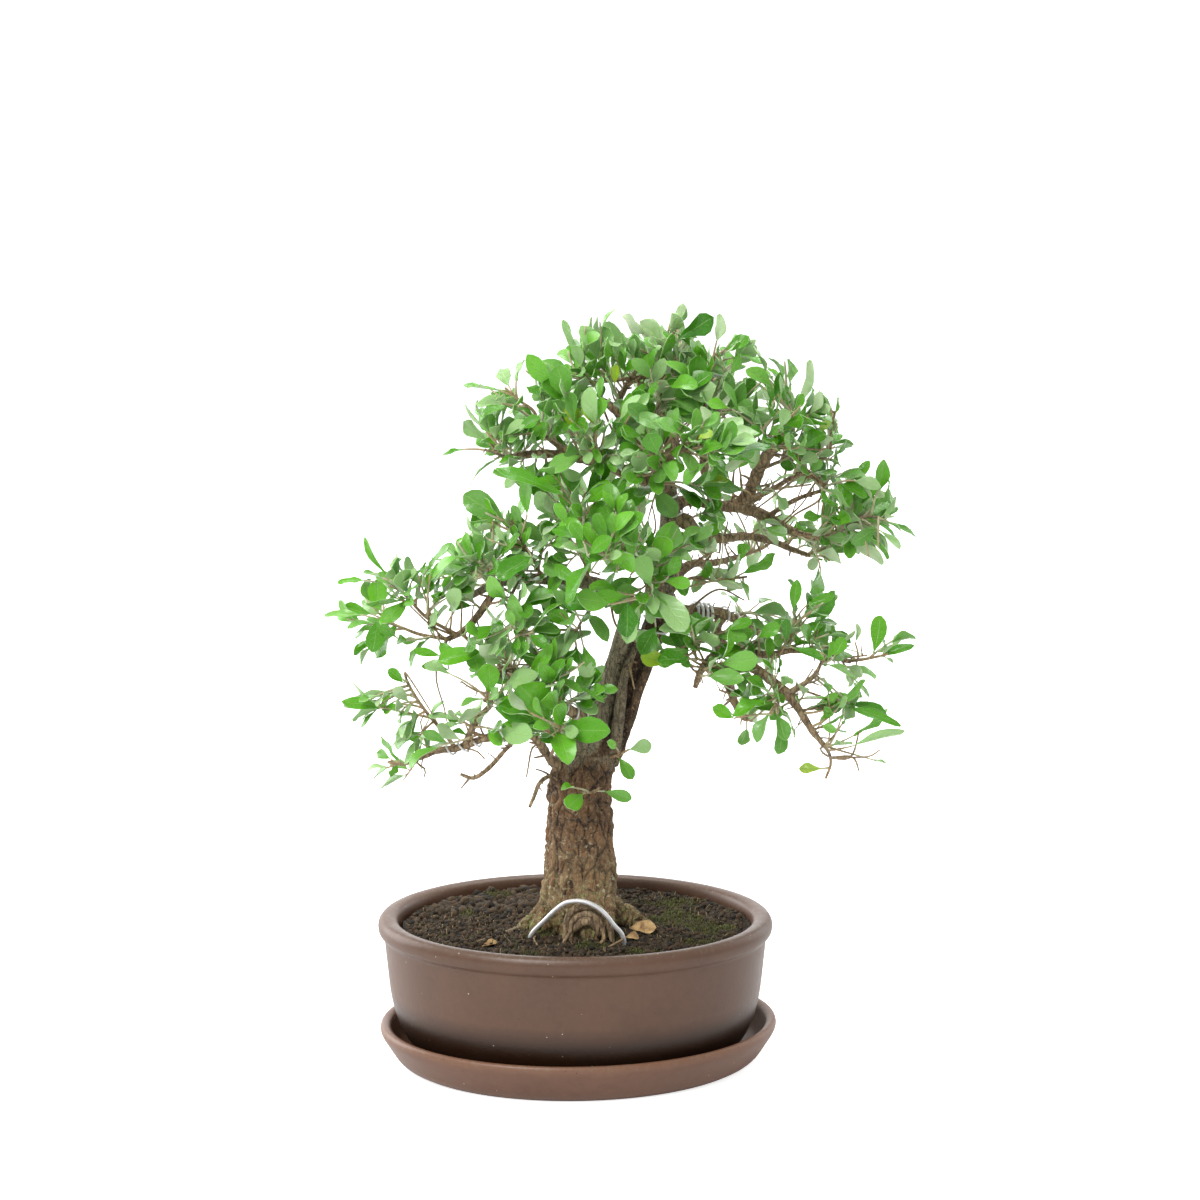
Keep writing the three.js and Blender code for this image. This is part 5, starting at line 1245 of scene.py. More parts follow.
# One of the leaves that stand out, a little nearer to the front or the back where it has room
def poseLeaf(number, name, base, tip, width, facing, tint):
    for shift in fillTwigs["poseShifts"]:
        start, end = (Vector(spot) + Vector((0, shift, 0)) for spot in (base, tip))
        root = limbTree.find(start)[0]
        matrix = leafMatrix((start, (end - start).normalized(), Vector((0.1, -1, 0))))
        middle = root.lerp(start, 0.5) + Vector((0, 0, 1.5))
        leaf = {"matrix": turnedTo(matrix, facing), "length": (end - start).length, "width": width,
                "arch": 0.05, "bend": (root, middle, start), "until": 1}
        dressLeaf(leaf, seededDraw(seeds["posed"] + number), tint)
        leaf["tint"], leaf["bloom"] = tint, 0
        samples = leafSamples(leaf)
        if insideBox(samples) and crowd.room(samples) > fillTwigs["poseClear"]:
            grown[name]["leaves"].append(leaf)
            crowd.add(samples)
            return 1
    return 0


# A leaf that the solids leave out, in the lean that has most room
def growExtra(spray, number, plan):
    draw = seededDraw(seeds["extra"] + 20 * spray["index"] + number)
    stem, tip, length = spray["stem"], Vector(plan[:3]), plan[3]
    draws = [draw() for _ in range(5)]
    bend = shootBend(stem, held(nearestShare(stem, tip) - 0.15, 0.2, 0.95), tip, 0)
    until = leafStart(bend, length)
    place = leafFrame(bendPoint(bend, until), tip, draws[2:])
    leaf = {"bend": bend, "until": until} | leafShape(length, (*plan, 1)[4], draws)
    dressLeaf(leaf, draw, spray["tint"])
    rooms = []
    for rank, lean in enumerate(leans):
        leaf["matrix"] = leafMatrix(place, lean)
        rooms.append(min(crowd.room(leafSamples(leaf)), 3) - 0.02 * rank)
    if max(rooms) > fillTwigs["extraClear"]:
        leaf["matrix"] = leafMatrix(place, leans[rooms.index(max(rooms))])
        spray["leaves"].append(leaf)
        crowd.add(leafSamples(leaf))


# One more leaf on a twig, at a share of its bend
def twigLeaf(bend, share, turn, swing, draw, tint, scale):
    spot, tangent = bendPoint(bend, share), bendTangent(bend, share)
    pointing = tangent * math.cos(swing) + outwardOf(tangent, turn) * math.sin(swing)
    pointing = (pointing + Vector((0, 0, 0.2))).normalized()
    base = spot + pointing * between(*fillTwigs["petiole"], draw())
    length = between(*fillTwigs["leafLength"], draw() ** 1.2) * scale
    facing = Vector((draw() - 0.5, draw() - 0.5, draw() - 0.5)) * 1.1 + awayFromAxis(base) * 0.7
    facing = squareTo(pointing, facing + Vector((0, 0, 0.55)))
    leaf = {"matrix": leafMatrix((base, pointing, facing)), "length": length,
            "width": length * between(*fillTwigs["slim"], draw()), "arch": between(0.04, 0.18, draw()),
            "spot": spot, "base": base}
    dressLeaf(leaf, draw, tint)
    leaf["wave"] *= 0.35
    leaf["twist"] *= 0.6
    return leaf


gapTable = np.array(crownGaps, dtype=float)


# Whether points lie in a gap of the crown as it is seen from the front
def inGap(samples):
    eyeX, eyeAway, eyeZ = fillTwigs["eye"]
    nearer = eyeAway / (eyeAway + samples[:, 1])
    seenX = eyeX + (samples[:, 0] - eyeX) * nearer
    seenZ = eyeZ + (samples[:, 2] - eyeZ) * nearer
    away = np.hypot(seenX[:, None] - gapTable[:, 0], seenZ[:, None] - gapTable[:, 1])
    return (away < gapTable[:, 2]).any()


# How far from the solids' leaves a new one may be: further at the back, where those are few
def reachAt(y):
    return between(*fillTwigs["reach"], held((y + 5) / 25, 0, 1))


# As many leaves along a twig as have room
def leavesOn(bend, count, low, draw, spray, clear):
    turn, leaves = draw() * fullTurn, []
    for share in sharesOf(count - 1, low):
        swing = between(1.1, 0.35, share) * between(0.8, 1.2, draw())
        for _ in range(2):
            turn += 2.4
            leaf = twigLeaf(bend, share, turn, swing, draw, spray["tint"], 0.75 + 0.25 * share)
            samples = leafSamples(leaf)
            tipGap = solidTree.find(Vector(samples[-1]))[2]
            if (insideBox(samples) and tipGap < reachAt(samples[-1][1]) and not inGap(samples)
                    and crowd.room(samples) > clear):
                crowd.add(samples)
                leaves.append(leaf)
                break
    return leaves


# A leafy twig from the nearest limb to a place that should be full of leaves
def growThicket(spot, draw):
    spray = grown[solidOwners[solidTree.find(spot)[1]]]
    near = [place for place, _, away in limbTree.find_n(spot, 60) if away > 8]
    start = near[0] if near else spot - Vector((0, 0, 10))
    bend = (start, start.lerp(spot, 0.5) + Vector((0, 0, 0.12 * (start - spot).length)), spot)
    leaves = leavesOn(bend, fillTwigs["thicketLeaves"], 0.4, draw, spray, fillTwigs["thicketClear"])
    if leaves:
        crowd.add(np.array([bendPoint(bend, share) for share in (0.3, 0.6, 1)]))
        spray["twigs"].append({"bend": bend, "leaves": leaves})


# A leafy twig from a limb, kept where at least two of its leaves have room
def growTwig(start, tangent, draw, fill):
    outward = outwardOf(tangent, draw() * fullTurn)
    leading = tangent * between(0.1, 0.9, draw()) + outward + awayFromAxis(start) * 0.35
    leading = (leading + Vector((0, 0, 0.4))).normalized()
    reach = between(*fillTwigs["length"], draw())
    bending = Vector((draw() - 0.5, draw() - 0.5, draw() - 0.2)) * 0.5 * reach
    bend = (start, start + leading * reach * 0.5, start + leading * reach + bending)
    _, near, gap = solidTree.find(bend[2])
    wanted = draw() < min(fill, sprayFills[solidOwners[near]])
    if not wanted or gap > reachAt(bend[2].y):
        return
    spray = grown[solidOwners[near]]
    path = np.array([bendPoint(bend, share) for share in (0.5, 0.75, 1)])
    if crowd.room(path) < 0.8 or inGap(path):
        return
    mark = len(crowd.spots)
    count = round(between(*fillTwigs["leaves"], draw()))
    leaves = leavesOn(bend, count, 0.3, draw, spray, fillTwigs["clear"])
    if len(leaves) < 2:
        crowd.backTo(mark)
    else:
        crowd.add(path)
        spray["twigs"].append({"bend": bend, "leaves": leaves})


misses = []
grown, sprayFills = {}, {}
for group in foliagePlans.values():
    for name, (limb, at, stemPoints, leafPlans, _) in group["sprays"].items():
        sprayFills[name] = 0 if name in fillTwigs["bareSprays"] else group["fill"]
        grown[name] = growSpray(len(grown), name, group["tint"], limb, at, stemPoints, leafPlans)
print("leaves set on the solids' leaves:", len(misses), "furthest off, mm:", round(max(misses), 2))
limbLines = [line for name, line in lines.items() if name not in ("trunk", "ridge")]
limbLines += [spray["stem"] for spray in grown.values()]
limbTree = treeOf([pointAt(line, share) for line in limbLines for share in sharesOf(20)])
print("posed leaves:", sum(poseLeaf(number, *plan) for number, plan in enumerate(posedLeaves)))
for group in foliagePlans.values():
    for name, (*_, wanted) in group["sprays"].items():
        for number, plan in enumerate(wanted):
            growExtra(grown[name], number, plan)

solidSpots = [(Vector(spot), name) for name, spray in grown.items() for leaf in spray["leaves"]
              for spot in leafSamples(leaf)[::2]]
solidOwners = [name for _, name in solidSpots]
solidTree = treeOf([spot for spot, _ in solidSpots])

for number, spot in enumerate(crownThickets):
    growThicket(Vector(spot), seededDraw(seeds["thicket"] + number))

limbs = [(spray["stem"], 0.1, sprayFills[name]) for name, spray in grown.items()]
limbs += [(line, fillTwigs["bareBranch"].get(name, 0.3), None) for name, line in lines.items()]
for number, (line, low, fill) in enumerate(limbs * fillTwigs["rounds"]):
    draw = seededDraw(seeds["fill"] + number)
    count = max(int(lengthOf(line) * (1 - low) / fillTwigs["spacing"]), 1)
    for step in range(count):
        share = between(low, 1, (step + draw()) / count)
        spot = pointAt(line, share)
        limbFill = sprayFills[solidOwners[solidTree.find(spot)[1]]] if fill is None else fill
        growTwig(spot, tangentAt(line, share), draw, limbFill)
print("all leaves:", sum(len(spray["leaves"]) + sum(len(twig["leaves"]) for twig in spray["twigs"])
                         for spray in grown.values()))


def shootPath(bend, until, thickness):
    count = max(int((bend[2] - bend[0]).length * until / 3), 2)
    return [(bendPoint(bend, until * step / count), between(*thickness, step / count))
            for step in range(count + 1)]


def makeFoliage(name, sprays):
    leafBm, stems, shoots = bmesh.new(), [], []
    for spray in (grown[sprayName] for sprayName in sprays):
        stems.append(stemPath(spray["stem"], 3))
        for leaf in spray["leaves"]:
            addLeaf(leafBm, leaf)
            until = min(leaf["until"] + 0.03, 1)
            shoots.append(shootPath(leaf["bend"], until, leafLook["shootThickness"]))
        for twig in spray["twigs"]:
            shoots.append(shootPath(twig["bend"], 1, leafLook["twigThickness"]))
            for leaf in twig["leaves"]:
                addLeaf(leafBm, leaf, "light")
                inward = leaf["base"] + (leaf["base"] - leaf["spot"]).normalized() * 0.8
                spots = (leaf["spot"], leaf["spot"].lerp(inward, 0.5), inward)
                shoots.append(list(zip(spots, fillTwigs["baseThickness"])))
    addMesh(leafBm, rodMesh(stems, 1), 1)
    addMesh(leafBm, rodMesh(shoots, 0), 2)
    return makePiece(name, leafBm, (leafMaterial, twigMaterial, shootMaterial), sprays)


for name, group in foliagePlans.items():
    piece = makeFoliage(name, tuple(group["sprays"]))
    print(name, len(piece.data.polygons))

barkLook = {
    "voxel": 1.0,
    "smoothing": 3,
    "plateSize": (7.5, 7.5, 21.0),
    "plateDepth": 1.7,
    "crackWidth": 0.2,
    "fineSize": (2.8, 2.8, 6.0),
    "fineDepth": 0.6,
    "lumps": 1.5,
    "forkHeight": 208,
    "sides": 2,
    "grooveReach": 3.2,
    "grooveDepth": 1.5,
    "grooveSpan": (206, 300),
    "sideOf": {"left": 0, "rib": 0.35, "edge": 1, "right": 1},
}
# The two stems above the fork, with the ribs and the fillet between them: x, y, z and radius
forkStems = {
    "left": [(6, 2, 199, 14), (11, 1, 214, 11.4), (15, 1, 228, 9.6), (18.6, 1, 241, 8.2),
             (22.8, 0, 254, 7.2), (27, 0, 267, 7), (31, -2, 281, 7.3), (34, -5, 298, 7),
             (29, -10, 310, 6)],
    "right": [(14, -1, 199, 13), (26, 1, 220, 9), (33, 2, 239, 7.4), (40, 2, 256, 6.8), (46, 1, 272, 7),
              (51, 2, 287, 7.6), (55, 3, 311, 7.6)],
    "rib": [(24, -8, 207, 4.4), (26.5, -10, 226, 4), (28.5, -9.5, 241, 3.9), (30.2, -9, 254, 3.6),
            (34, -7.5, 267, 3.2), (39, -4, 281, 2.6)],
    "edge": [(27.4, -3, 206, 3.4), (32.4, -5, 221, 3.3), (37, -6, 237, 3.5), (40.6, -5.5, 251, 3.9),
             (45.4, -4, 264, 4.1), (49, -2, 277, 4.3)],
    "fillet": [(20, 3, 214, 7), (26, 3, 230, 6), (30, 3, 246, 5.4), (34, 3, 262, 5.2), (40, 1, 280, 5)],
}
# The root that rises at the front under the wire, with a root at each side of it and a thin one
frontKnee = [
    [(5, -18, 118, 12), (8, -29, 107, 9.5), (9, -35, 98, 8), (9, -39, 87, 6)],
    [(-2, -20, 110, 11), (-3, -29, 100, 8), (-4, -34, 88, 6)],
    [(14, -18, 112, 10), (17, -29, 102, 8), (19, -36, 90, 6)],
    [(-17, -20, 104, 7), (-24, -24, 96, 5), (-31, -27, 87, 3)],
]


# How high the bark stands at a point in millimetres: 0 in a crack, about 1 on a plate
def barkPlate(spot, size):
    bent = spot + noise.noise_vector(spot * 0.09) * 3.5
    near, following = noise.voronoi(Vector(a / b for a, b in zip(bent, size)))[0][:2]
    return min((following - near) / barkLook["crackWidth"], 1)


def roughness(spot):
    low = barkLook["forkHeight"] + 12 * noise.noise(spot * 0.11)
    return 1 if spot.z < low - 14 else max(0.14, 1 - (spot.z - low + 14) / 26)


# How deep a point lies in a groove between the stems, and which stem it is on
def grooveAt(spot, trees):
    low, high = barkLook["grooveSpan"]
    if not low < spot.z < high:
        return 0, 0
    gaps = {}
    for name, (tree, path) in trees.items():
        _, index, away = tree.find(spot)
        gaps[name] = away - path[index][1]
    nearest, following = sorted(gaps, key=gaps.get)[:2]
    groove = max(1 - max(gaps[following], 0) / barkLook["grooveReach"], 0)
    groove *= min((spot.z - low) / 14, 1) * min((high - spot.z) / 20, 1) * (1 if spot.y < 4 else 0.4)
    return groove, barkLook["sideOf"][nearest]


def makeTrunk():
    stems = {name: stemPath(makeLine(points), 1.5) for name, points in forkStems.items()}
    paths = [stemPath(lines["trunk"], 3), *stems.values()]
    paths += [stemPath(makeLine(points), 2) for points in rootPoints + frontKnee]
    paths += [stemPath(lines[name], 2, 0.44) for name in ("stemLeft", "stemRight")]
    bm = bmesh.new()
    addMesh(bm, rodMesh(paths, 6), 0)
    bm = shapedBy(bm, "REMESH", mode="VOXEL", voxel_size=barkLook["voxel"] * millimetre)
    for _ in range(barkLook["smoothing"]):
        bmesh.ops.smooth_vert(bm, verts=bm.verts, factor=0.5, use_axis_x=True, use_axis_y=True,
                              use_axis_z=True)
    bm.normal_update()
    trees = {name: (treeOf([spot for spot, _ in stems[name]]), stems[name])
             for name in barkLook["sideOf"]}
    relief, kind = (bm.verts.layers.float_color.new(name) for name in ("barkRelief", "barkKind"))
    moves = []
    for vert in bm.verts:
        spot = vert.co / millimetre
        rough = roughness(spot)
        plate = barkPlate(spot, barkLook["plateSize"])
        fine = barkPlate(spot + Vector((40, 0, 0)), barkLook["fineSize"])
        lump = noise.noise(spot * 0.07) + 0.6 * noise.noise(spot * 0.19)
        groove, side = grooveAt(spot, trees)
        height = rough * (barkLook["plateDepth"] * (plate - 0.75) + barkLook["fineDepth"] * (fine - 0.7))
        height += barkLook["lumps"] * lump * (0.3 + 0.7 * rough) - barkLook["grooveDepth"] * groove
        # The groove's depth also paints shade into the bark's colour
        vert[relief] = (plate, fine, groove, 1)
        vert[kind] = (rough, side, 0, 1)
        moves.append(vert.normal * height * millimetre)
    for vert, move in zip(bm.verts, moves):
        vert.co += move
    return makePiece("trunkBark", bm, (trunkMaterial,), ("wood",))


spurLook = {"spacing": 5, "length": (1.8, 9), "bareSpacing": 12, "bareLength": (12, 30),
            "bareThick": (1, 0.5), "bareSpurs": (2.5, 9), "uneven": 0.24}
# Bare twigs that the photograph shows: points in millimetres
bareTwigs = [
    [(101, 4, 366), (100, 4, 381), (101, 4, 395)], [(105, 6, 385), (107, 8, 366)],
    [(155, -29, 214), (162, -30, 209), (174, -30, 209), (187, -30, 210), (193, -30, 214)],
    [(174, -30, 209), (180, -28, 226)], [(176, -30, 209), (180, -29, 200)],
    [(125, -20, 256), (135, -12, 242), (146, -10, 243), (158, -10, 243)],
    [(-48, -40, 321), (-41, -40, 303), (-34, -40, 287)], [(-19, -22, 400), (-9, -22, 373), (4, -22, 354)],
    [(25, -24, 294), (31, -28, 288), (42, -28, 281), (53, -28, 273)],
    [(34, -9, 267), (35, -13.5, 260), (37, -14, 250)],
    [(-31, -33, 226), (-28, -33, 230), (-20, -33, 226)],
    [(-107, -40, 266), (-96, -38, 248), (-86, -36, 230)],
    [(-88, -40, 265), (-83, -38, 242), (-81, -36, 230)],
    [(-120, -26, 205), (-112, -27, 204), (-93, -33, 213), (-81, -36, 217), (-63, -38, 215),
     (-58, -38, 210)],
    [(-101, -30, 205), (-96, -30, 201), (-97, -30, 196)], [(-81, -38, 287), (-110, -44, 316)],
    [(-86, -38, 289), (-94, -44, 314)], [(-79, -40, 294), (-76, -46, 317)],
    [(-72, -40, 292), (-71, -46, 313)], [(-68, -38, 287), (-64, -44, 310)],
    [(-92, -38, 295), (-92, -44, 315)], [(-38, -46, 276), (-23, -46, 281), (-10, -44, 288)],
    [(-20, -42, 239), (-10, -44, 250)], [(79, 4, 389), (89, 6, 372), (94, 12, 365)],
    [(100, 8, 372), (101, 2, 396)], [(107, 10, 368), (104, 4, 388), (102, 0, 399)],
    [(125, -8, 401), (137, -4, 397), (155, 2, 382), (160, 6, 378)],
    [(160, 6, 378), (155, 6, 369), (140, 10, 359), (134, 16, 352)], [(155, 6, 369), (154, 10, 354)],
    [(145, 0, 388), (133, 4, 378), (123, 8, 369), (114, 14, 361)],
    [(162, 4, 426), (160, 4, 408), (159, 4, 401), (150, 4, 391), (144, 6, 378), (138, 12, 359)],
    [(135, 0, 389), (141, -4, 409), (145, -4, 422)], [(139, 14, 346), (156, 10, 344), (172, 8, 350)],
    [(131, 16, 352), (143, 8, 365), (150, 4, 376)], [(151, 20, 337), (163, 18, 327)],
    [(117, 10, 368), (114, 2, 389), (110, 0, 402)],
    [(-27, -18, 214), (-32, -22, 194)],
    [(142, -20, 251), (161, -26, 246), (180, -30, 243)],
    [(131, 10, 277), (144, 8, 284), (158, 6, 280)], [(40, -12, 333), (50, -14, 353), (48, -12, 369)],
    [(15, -14, 436), (23, -12, 416), (33, -10, 400)], [(78, -10, 416), (72, -8, 435), (78, -6, 447)],
    [(-10, -26, 393), (-1, -28, 374), (1, -28, 362)], [(40, -8, 438), (47, -6, 422), (56, -4, 409)],
    [(101, -18, 273), (117, -10, 281), (124, -4, 290)], [(79, 0, 305), (92, 6, 311), (108, 10, 303)],
]
# The ridges of bark that arch over the root at the front: x, y, z and radius
kneeRidges = [
    [(-8, -39, 88, 2), (-6.5, -40, 96, 2.2), (-6, -40.5, 103, 2.4), (-4, -41, 109.6, 2.4),
     (1.5, -41, 113.3, 2.5), (8.6, -41, 114.6, 2.6), (15, -41, 112.2, 2.5), (19.5, -41.5, 106, 2.4),
     (22, -42, 98, 2.2), (23, -42, 88, 2)],
    [(-4, -42, 88, 1.6), (-3.5, -42.5, 97, 1.8), (-2.2, -43, 104.6, 1.9), (2.3, -43, 108.8, 2),
     (8.6, -43, 109.4, 2.1), (13.7, -43, 106, 2), (17, -43, 99, 1.9), (18, -43, 89, 1.7)],
    [(-1, -41, 98, 2), (1, -42.5, 102, 3), (5, -43, 104.6, 3.4), (9.5, -43, 104.4, 3.2),
     (13, -42.5, 100, 2.4), (14.5, -41.5, 94, 1.6)],
]
# A knobby twig of the low left branch, that forks up behind the big leaves: x, y, z and radius
lowFork = [(-71, -36, 217.3, 2.4), (-66.4, -40, 228.6, 2.3), (-61.2, -43, 238, 2.2),
           (-54, -46, 247.3, 1.9), (-55.2, -48, 257.4, 1.6), (-45.1, -47, 269.1, 1.4),
           (-32.7, -45, 266.1, 1)]
# A cut branch that points down at the right
cutBranch = [(83.4, -8, 262.4, 2.1), (95, -9, 253.3, 2), (100.2, -10, 241.5, 2.1),
             (107.7, -11, 229.8, 1.8)]
# Thin roots at the foot of the trunk and along the soil: x, y, z and radius
fineRoots = [
    [(16, -43, 101, 1.4), (17.6, -47, 94.6, 1.3), (14, -50, 90.6, 1.1), (11, -52, 88, 0.9)],
    [(30, -50, 95, 0.9), (24, -53, 92.6, 0.8), (18, -55, 89.6, 0.6)],
    [(-5, -43, 96, 1.5), (-8, -47, 91.5, 1.2), (-6, -51, 89, 0.9)],
    [(-28, -6, 92.6, 1.5), (-41, -17, 91.6, 1.2), (-56, -33, 90.4, 1), (-72, -46, 89.8, 0.8)],
    [(-20, -22, 94, 1.1), (-27, -36, 91.6, 0.9), (-25, -48, 90.6, 0.7)],
]


# A thin rod that bends a little, from a place out along a direction
def spurPath(spot, direction, length, thick, draw):
    bending = Vector((draw() - 0.5, draw() - 0.5, draw() - 0.35)) * 0.5 * length
    bend = (spot, spot + direction * length * 0.5, spot + direction * length + bending)
    return [(bendPoint(bend, share), between(thick, thick * 0.55, share))
            for share in sharesOf(max(int(length / 3), 2))]


def outwardAt(line, share, draw):
    tangent = tangentAt(line, share)
    return (outwardOf(tangent, draw() * fullTurn) + tangent * between(-0.2, 0.9, draw())).normalized()


# A bare twig with spurs of its own, where it stays among the leaves
def growBareTwig(line, share, draw):
    length = between(*spurLook["bareLength"], draw())
    outward = outwardAt(line, share, draw)
    outward.z = max(outward.z, -0.2 * outward.z)  # a bare twig doesn't hang
    path = spurPath(pointAt(line, share), outward, length, 0.95, draw)
    spots = np.array([spot for spot, _ in path[2:]])
    if not insideBox(spots) or solidTree.find(path[-1][0])[2] >= fillTwigs["reach"][0]:
        return []
    paths = [path]
    for number in (1, 2, 3):
        spot = path[min(number * len(path) // 4 + 1, len(path) - 1)][0]
        aside = Vector((draw() - 0.5, draw() - 0.5, draw() - 0.4)).normalized()
        paths.append(spurPath(spot, aside, between(*spurLook["bareSpurs"], draw()), 0.6, draw))
    return paths


# Short spurs on every branch, and bare twigs on the thinner part of each
def growSpurs(names):
    draw = seededDraw(seeds["spurs"])
    paths = []
    for line in (lines[name] for name in names):
        for step in range(int(lengthOf(line) / spurLook["spacing"])):
            share = min((step + draw()) * spurLook["spacing"] / lengthOf(line), 1)
            length = radiusAt(line, share) + between(*spurLook["length"], draw() ** 2)
            outward = outwardAt(line, share, draw)
            paths.append(spurPath(pointAt(line, share), outward, length, between(0.6, 1.1, draw()), draw))
        for step in range(int(lengthOf(line) * 0.75 / spurLook["bareSpacing"])):
            share = min(0.25 + (step + draw()) * spurLook["bareSpacing"] / lengthOf(line), 1)
            paths += growBareTwig(line, share, draw)
    return paths


# Points led on from the nearest limb
def ledOn(points):
    first = Vector(points[0][:3])
    root = limbTree.find(first)[0]
    return [(*root, *points[0][3:])] + points if (root - first).length > 1 else points


# A stem's path with its thickness a little uneven
def unevenPath(line):
    return [(spot, radius * (1 + spurLook["uneven"] * noise.noise(spot * 0.25 + Vector((7, 0, 0)))))
            for spot, radius in stemPath(line, 2.2)]


def makeBranches():
    lines["lowFork"], lines["cutBranch"] = makeLine(lowFork), makeLine(ledOn(cutBranch))
    names = [name for name in lines if name not in ("stemLeft", "stemRight", "ridge", "trunk")]
    thick = [lines[name] for name in names] + [makeLine(points) for points in kneeRidges]
    bm = bmesh.new()
    addMesh(bm, rodMesh([unevenPath(line) for line in thick], barkLook["sides"]), 0)
    thin = growSpurs(names)
    thin += [stemPath(taperedLine(ledOn(points), *spurLook["bareThick"]), 3) for points in bareTwigs]
    thin += [stemPath(makeLine(points), 1.5) for points in fineRoots]
    addMesh(bm, rodMesh(thin, 0), 1)
    return makePiece("branchBark", bm, (branchMaterial, twigMaterial), ("wood",))


trunk = makeTrunk()
branches = makeBranches()
print("trunk and branches:", len(trunk.data.polygons), len(branches.data.polygons))

potLook = {
    "halfLength": 128.8,
    "shift": -1,
    "ovalRatio": 0.78,
    "saucerHalf": 130.5,
    "saucerTurn": 6,
    "saucerShift": 1.2,
    "steps": 112,
    "holeRadius": 8,
    "holeShift": 40,
    "holeMiddle": 12,
    "holeDepth": 30,
}


# Corners (radius, height, rounding) drawn as one path with every corner rounded
def roundedPath(corners, steps=5):
    path = []
    for index, (radius, height, rounding) in enumerate(corners):
        corner = Vector((radius, height))
        if not rounding:
            path.append(corner)
            continue
        arms = []
        for other in (corners[index - 1], corners[index + 1]):
            toward = Vector(other[:2]) - corner
            arms.append(corner + toward.normalized() * min(rounding, toward.length * 0.48))
        path += [bendPoint((arms[0], corner, arms[1]), share) for share in sharesOf(steps)]
    return path


# An oval solid turned from a profile (radius, height) that ends on the axis
def turned(profile, steps):
    bm = bmesh.new()
    verts = [bm.verts.new((radius * millimetre, 0, height * millimetre)) for radius, height in profile]
    edges = [bm.edges.new(pair) for pair in zip(verts, verts[1:])]
    bmesh.ops.spin(bm, geom=verts + edges, cent=(0, 0, 0), axis=(0, 0, 1), angle=fullTurn, steps=steps,
                   use_merge=True)
    weld(bm)
    bmesh.ops.scale(bm, vec=(1, potLook["ovalRatio"], 1), verts=bm.verts)
    return bm


def makePot():
    rim = potLook["halfLength"]
    bm = turned(roundedPath([
        (0, 9.3, 0), (rim - 35, 9.3, 0), (rim - 34, 6.3, 0.8), (rim - 28, 6.3, 0.8), (rim - 16, 19, 9),
        (rim - 8.5, 40, 14), (rim - 4.6, 80, 6), (rim - 4.3, 84, 3), (rim - 0.7, 86.6, 2.6),
        (rim - 0.1, 92.6, 3), (rim - 3, 96.8, 2.4), (rim - 8, 97.2, 2), (rim - 12.6, 95.6, 2.4),
        (rim - 14, 91, 2), (rim - 17, 30, 12), (rim - 27, 15, 8), (0, 15, 0),
    ]), potLook["steps"])
    cutter = bmesh.new()
    radius = potLook["holeRadius"]
    for shift in (-potLook["holeShift"], potLook["holeShift"]):
        middle = Matrix.Translation((shift, 0, potLook["holeMiddle"]))
        bmesh.ops.create_cone(cutter, cap_ends=True, segments=24, radius1=radius, radius2=radius,
                              depth=potLook["holeDepth"], matrix=middle)
    bmesh.ops.scale(cutter, vec=(millimetre,) * 3, verts=cutter.verts)
    holes = linked("drainHoles", meshOf("drainHoles", cutter))
    bm = shapedBy(bm, "BOOLEAN", object=holes, operation="DIFFERENCE", solver="EXACT")
    bmesh.ops.translate(bm, vec=(potLook["shift"] * millimetre, 0, 0), verts=bm.verts)
    bpy.data.objects.remove(holes)
    return makePiece("glazedPot", bm, (glazeMaterial,), ("pot",))


def makeSaucer():
    outer = potLook["saucerHalf"]
    bm = turned(roundedPath([
        (0, 0, 0), (outer - 19, 0, 1.5), (outer - 12, 3.5, 5), (outer - 1.4, 20, 3),
        (outer - 0.4, 23.4, 3), (outer - 1.6, 26.6, 1.8), (outer - 4.2, 27.2, 1.6),
        (outer - 7.2, 25.6, 2), (outer - 9.5, 20, 3),
        (outer - 14, 11, 4), (outer - 22, 6, 5), (0, 6, 0),
    ]), potLook["steps"])
    turn = Matrix.Rotation(math.radians(potLook["saucerTurn"]), 4, "Z")
    shift = Matrix.Translation((potLook["saucerShift"] * millimetre, 0, 0))
    bmesh.ops.transform(bm, verts=bm.verts, matrix=shift @ turn)
    return makePiece("glazedSaucer", bm, (saucerMaterial,), ("saucer",))


pot = makePot()
saucer = makeSaucer()
print("pot and saucer:", len(pot.data.polygons), len(saucer.data.polygons))

soilLook = {
    "topRadius": 113.3,
    "rings": 64,
    "steps": 176,
    "grainHeight": 1.7,
    "crumbs": 6200,
    "crumbSize": (0.5, 2.4),
    "clods": 1.7,
    "mossSpots": [(66, 6, 24, 30), (88, -14, 16, 18), (62, 44, 26, 14), (44, -62, 20, 7),
                  (22, -34, 16, 9), (-22, -30, 13, 8), (-52, 62, 20, 10), (0, 40, 26, 12),
                  (-72, 20, 9, 12),
                  (-30, -66, 14, 5), (80, -44, 14, 9), (12, -52, 14, 6)],
    "level": 89.5,
    "mound": (3, 45),
    "swell": 0.9,
    "mossHeight": 1.6,
    "trunkClear": 24,
    "mossClear": 0.55,
    "sliverShare": 0.05,
    "tufts": 3400,
    "tuftHeight": (1.2, 3.4),
    "tuftWidth": (0.35, 0.6),
    "scatterReach": (112, 88),
}


def soilHeight(x, y):
    height, reach = soilLook["mound"]
    mound = height * math.exp(-(x * x + y * y) / reach ** 2)
    return soilLook["level"] + mound + soilLook["swell"] * math.sin(0.16 * x + 1) * math.cos(0.14 * y)


def inPot(x, y, inset=0):
    reach = soilLook["topRadius"] - inset
    return (x / reach) ** 2 + (y / (reach * potLook["ovalRatio"])) ** 2 < 1


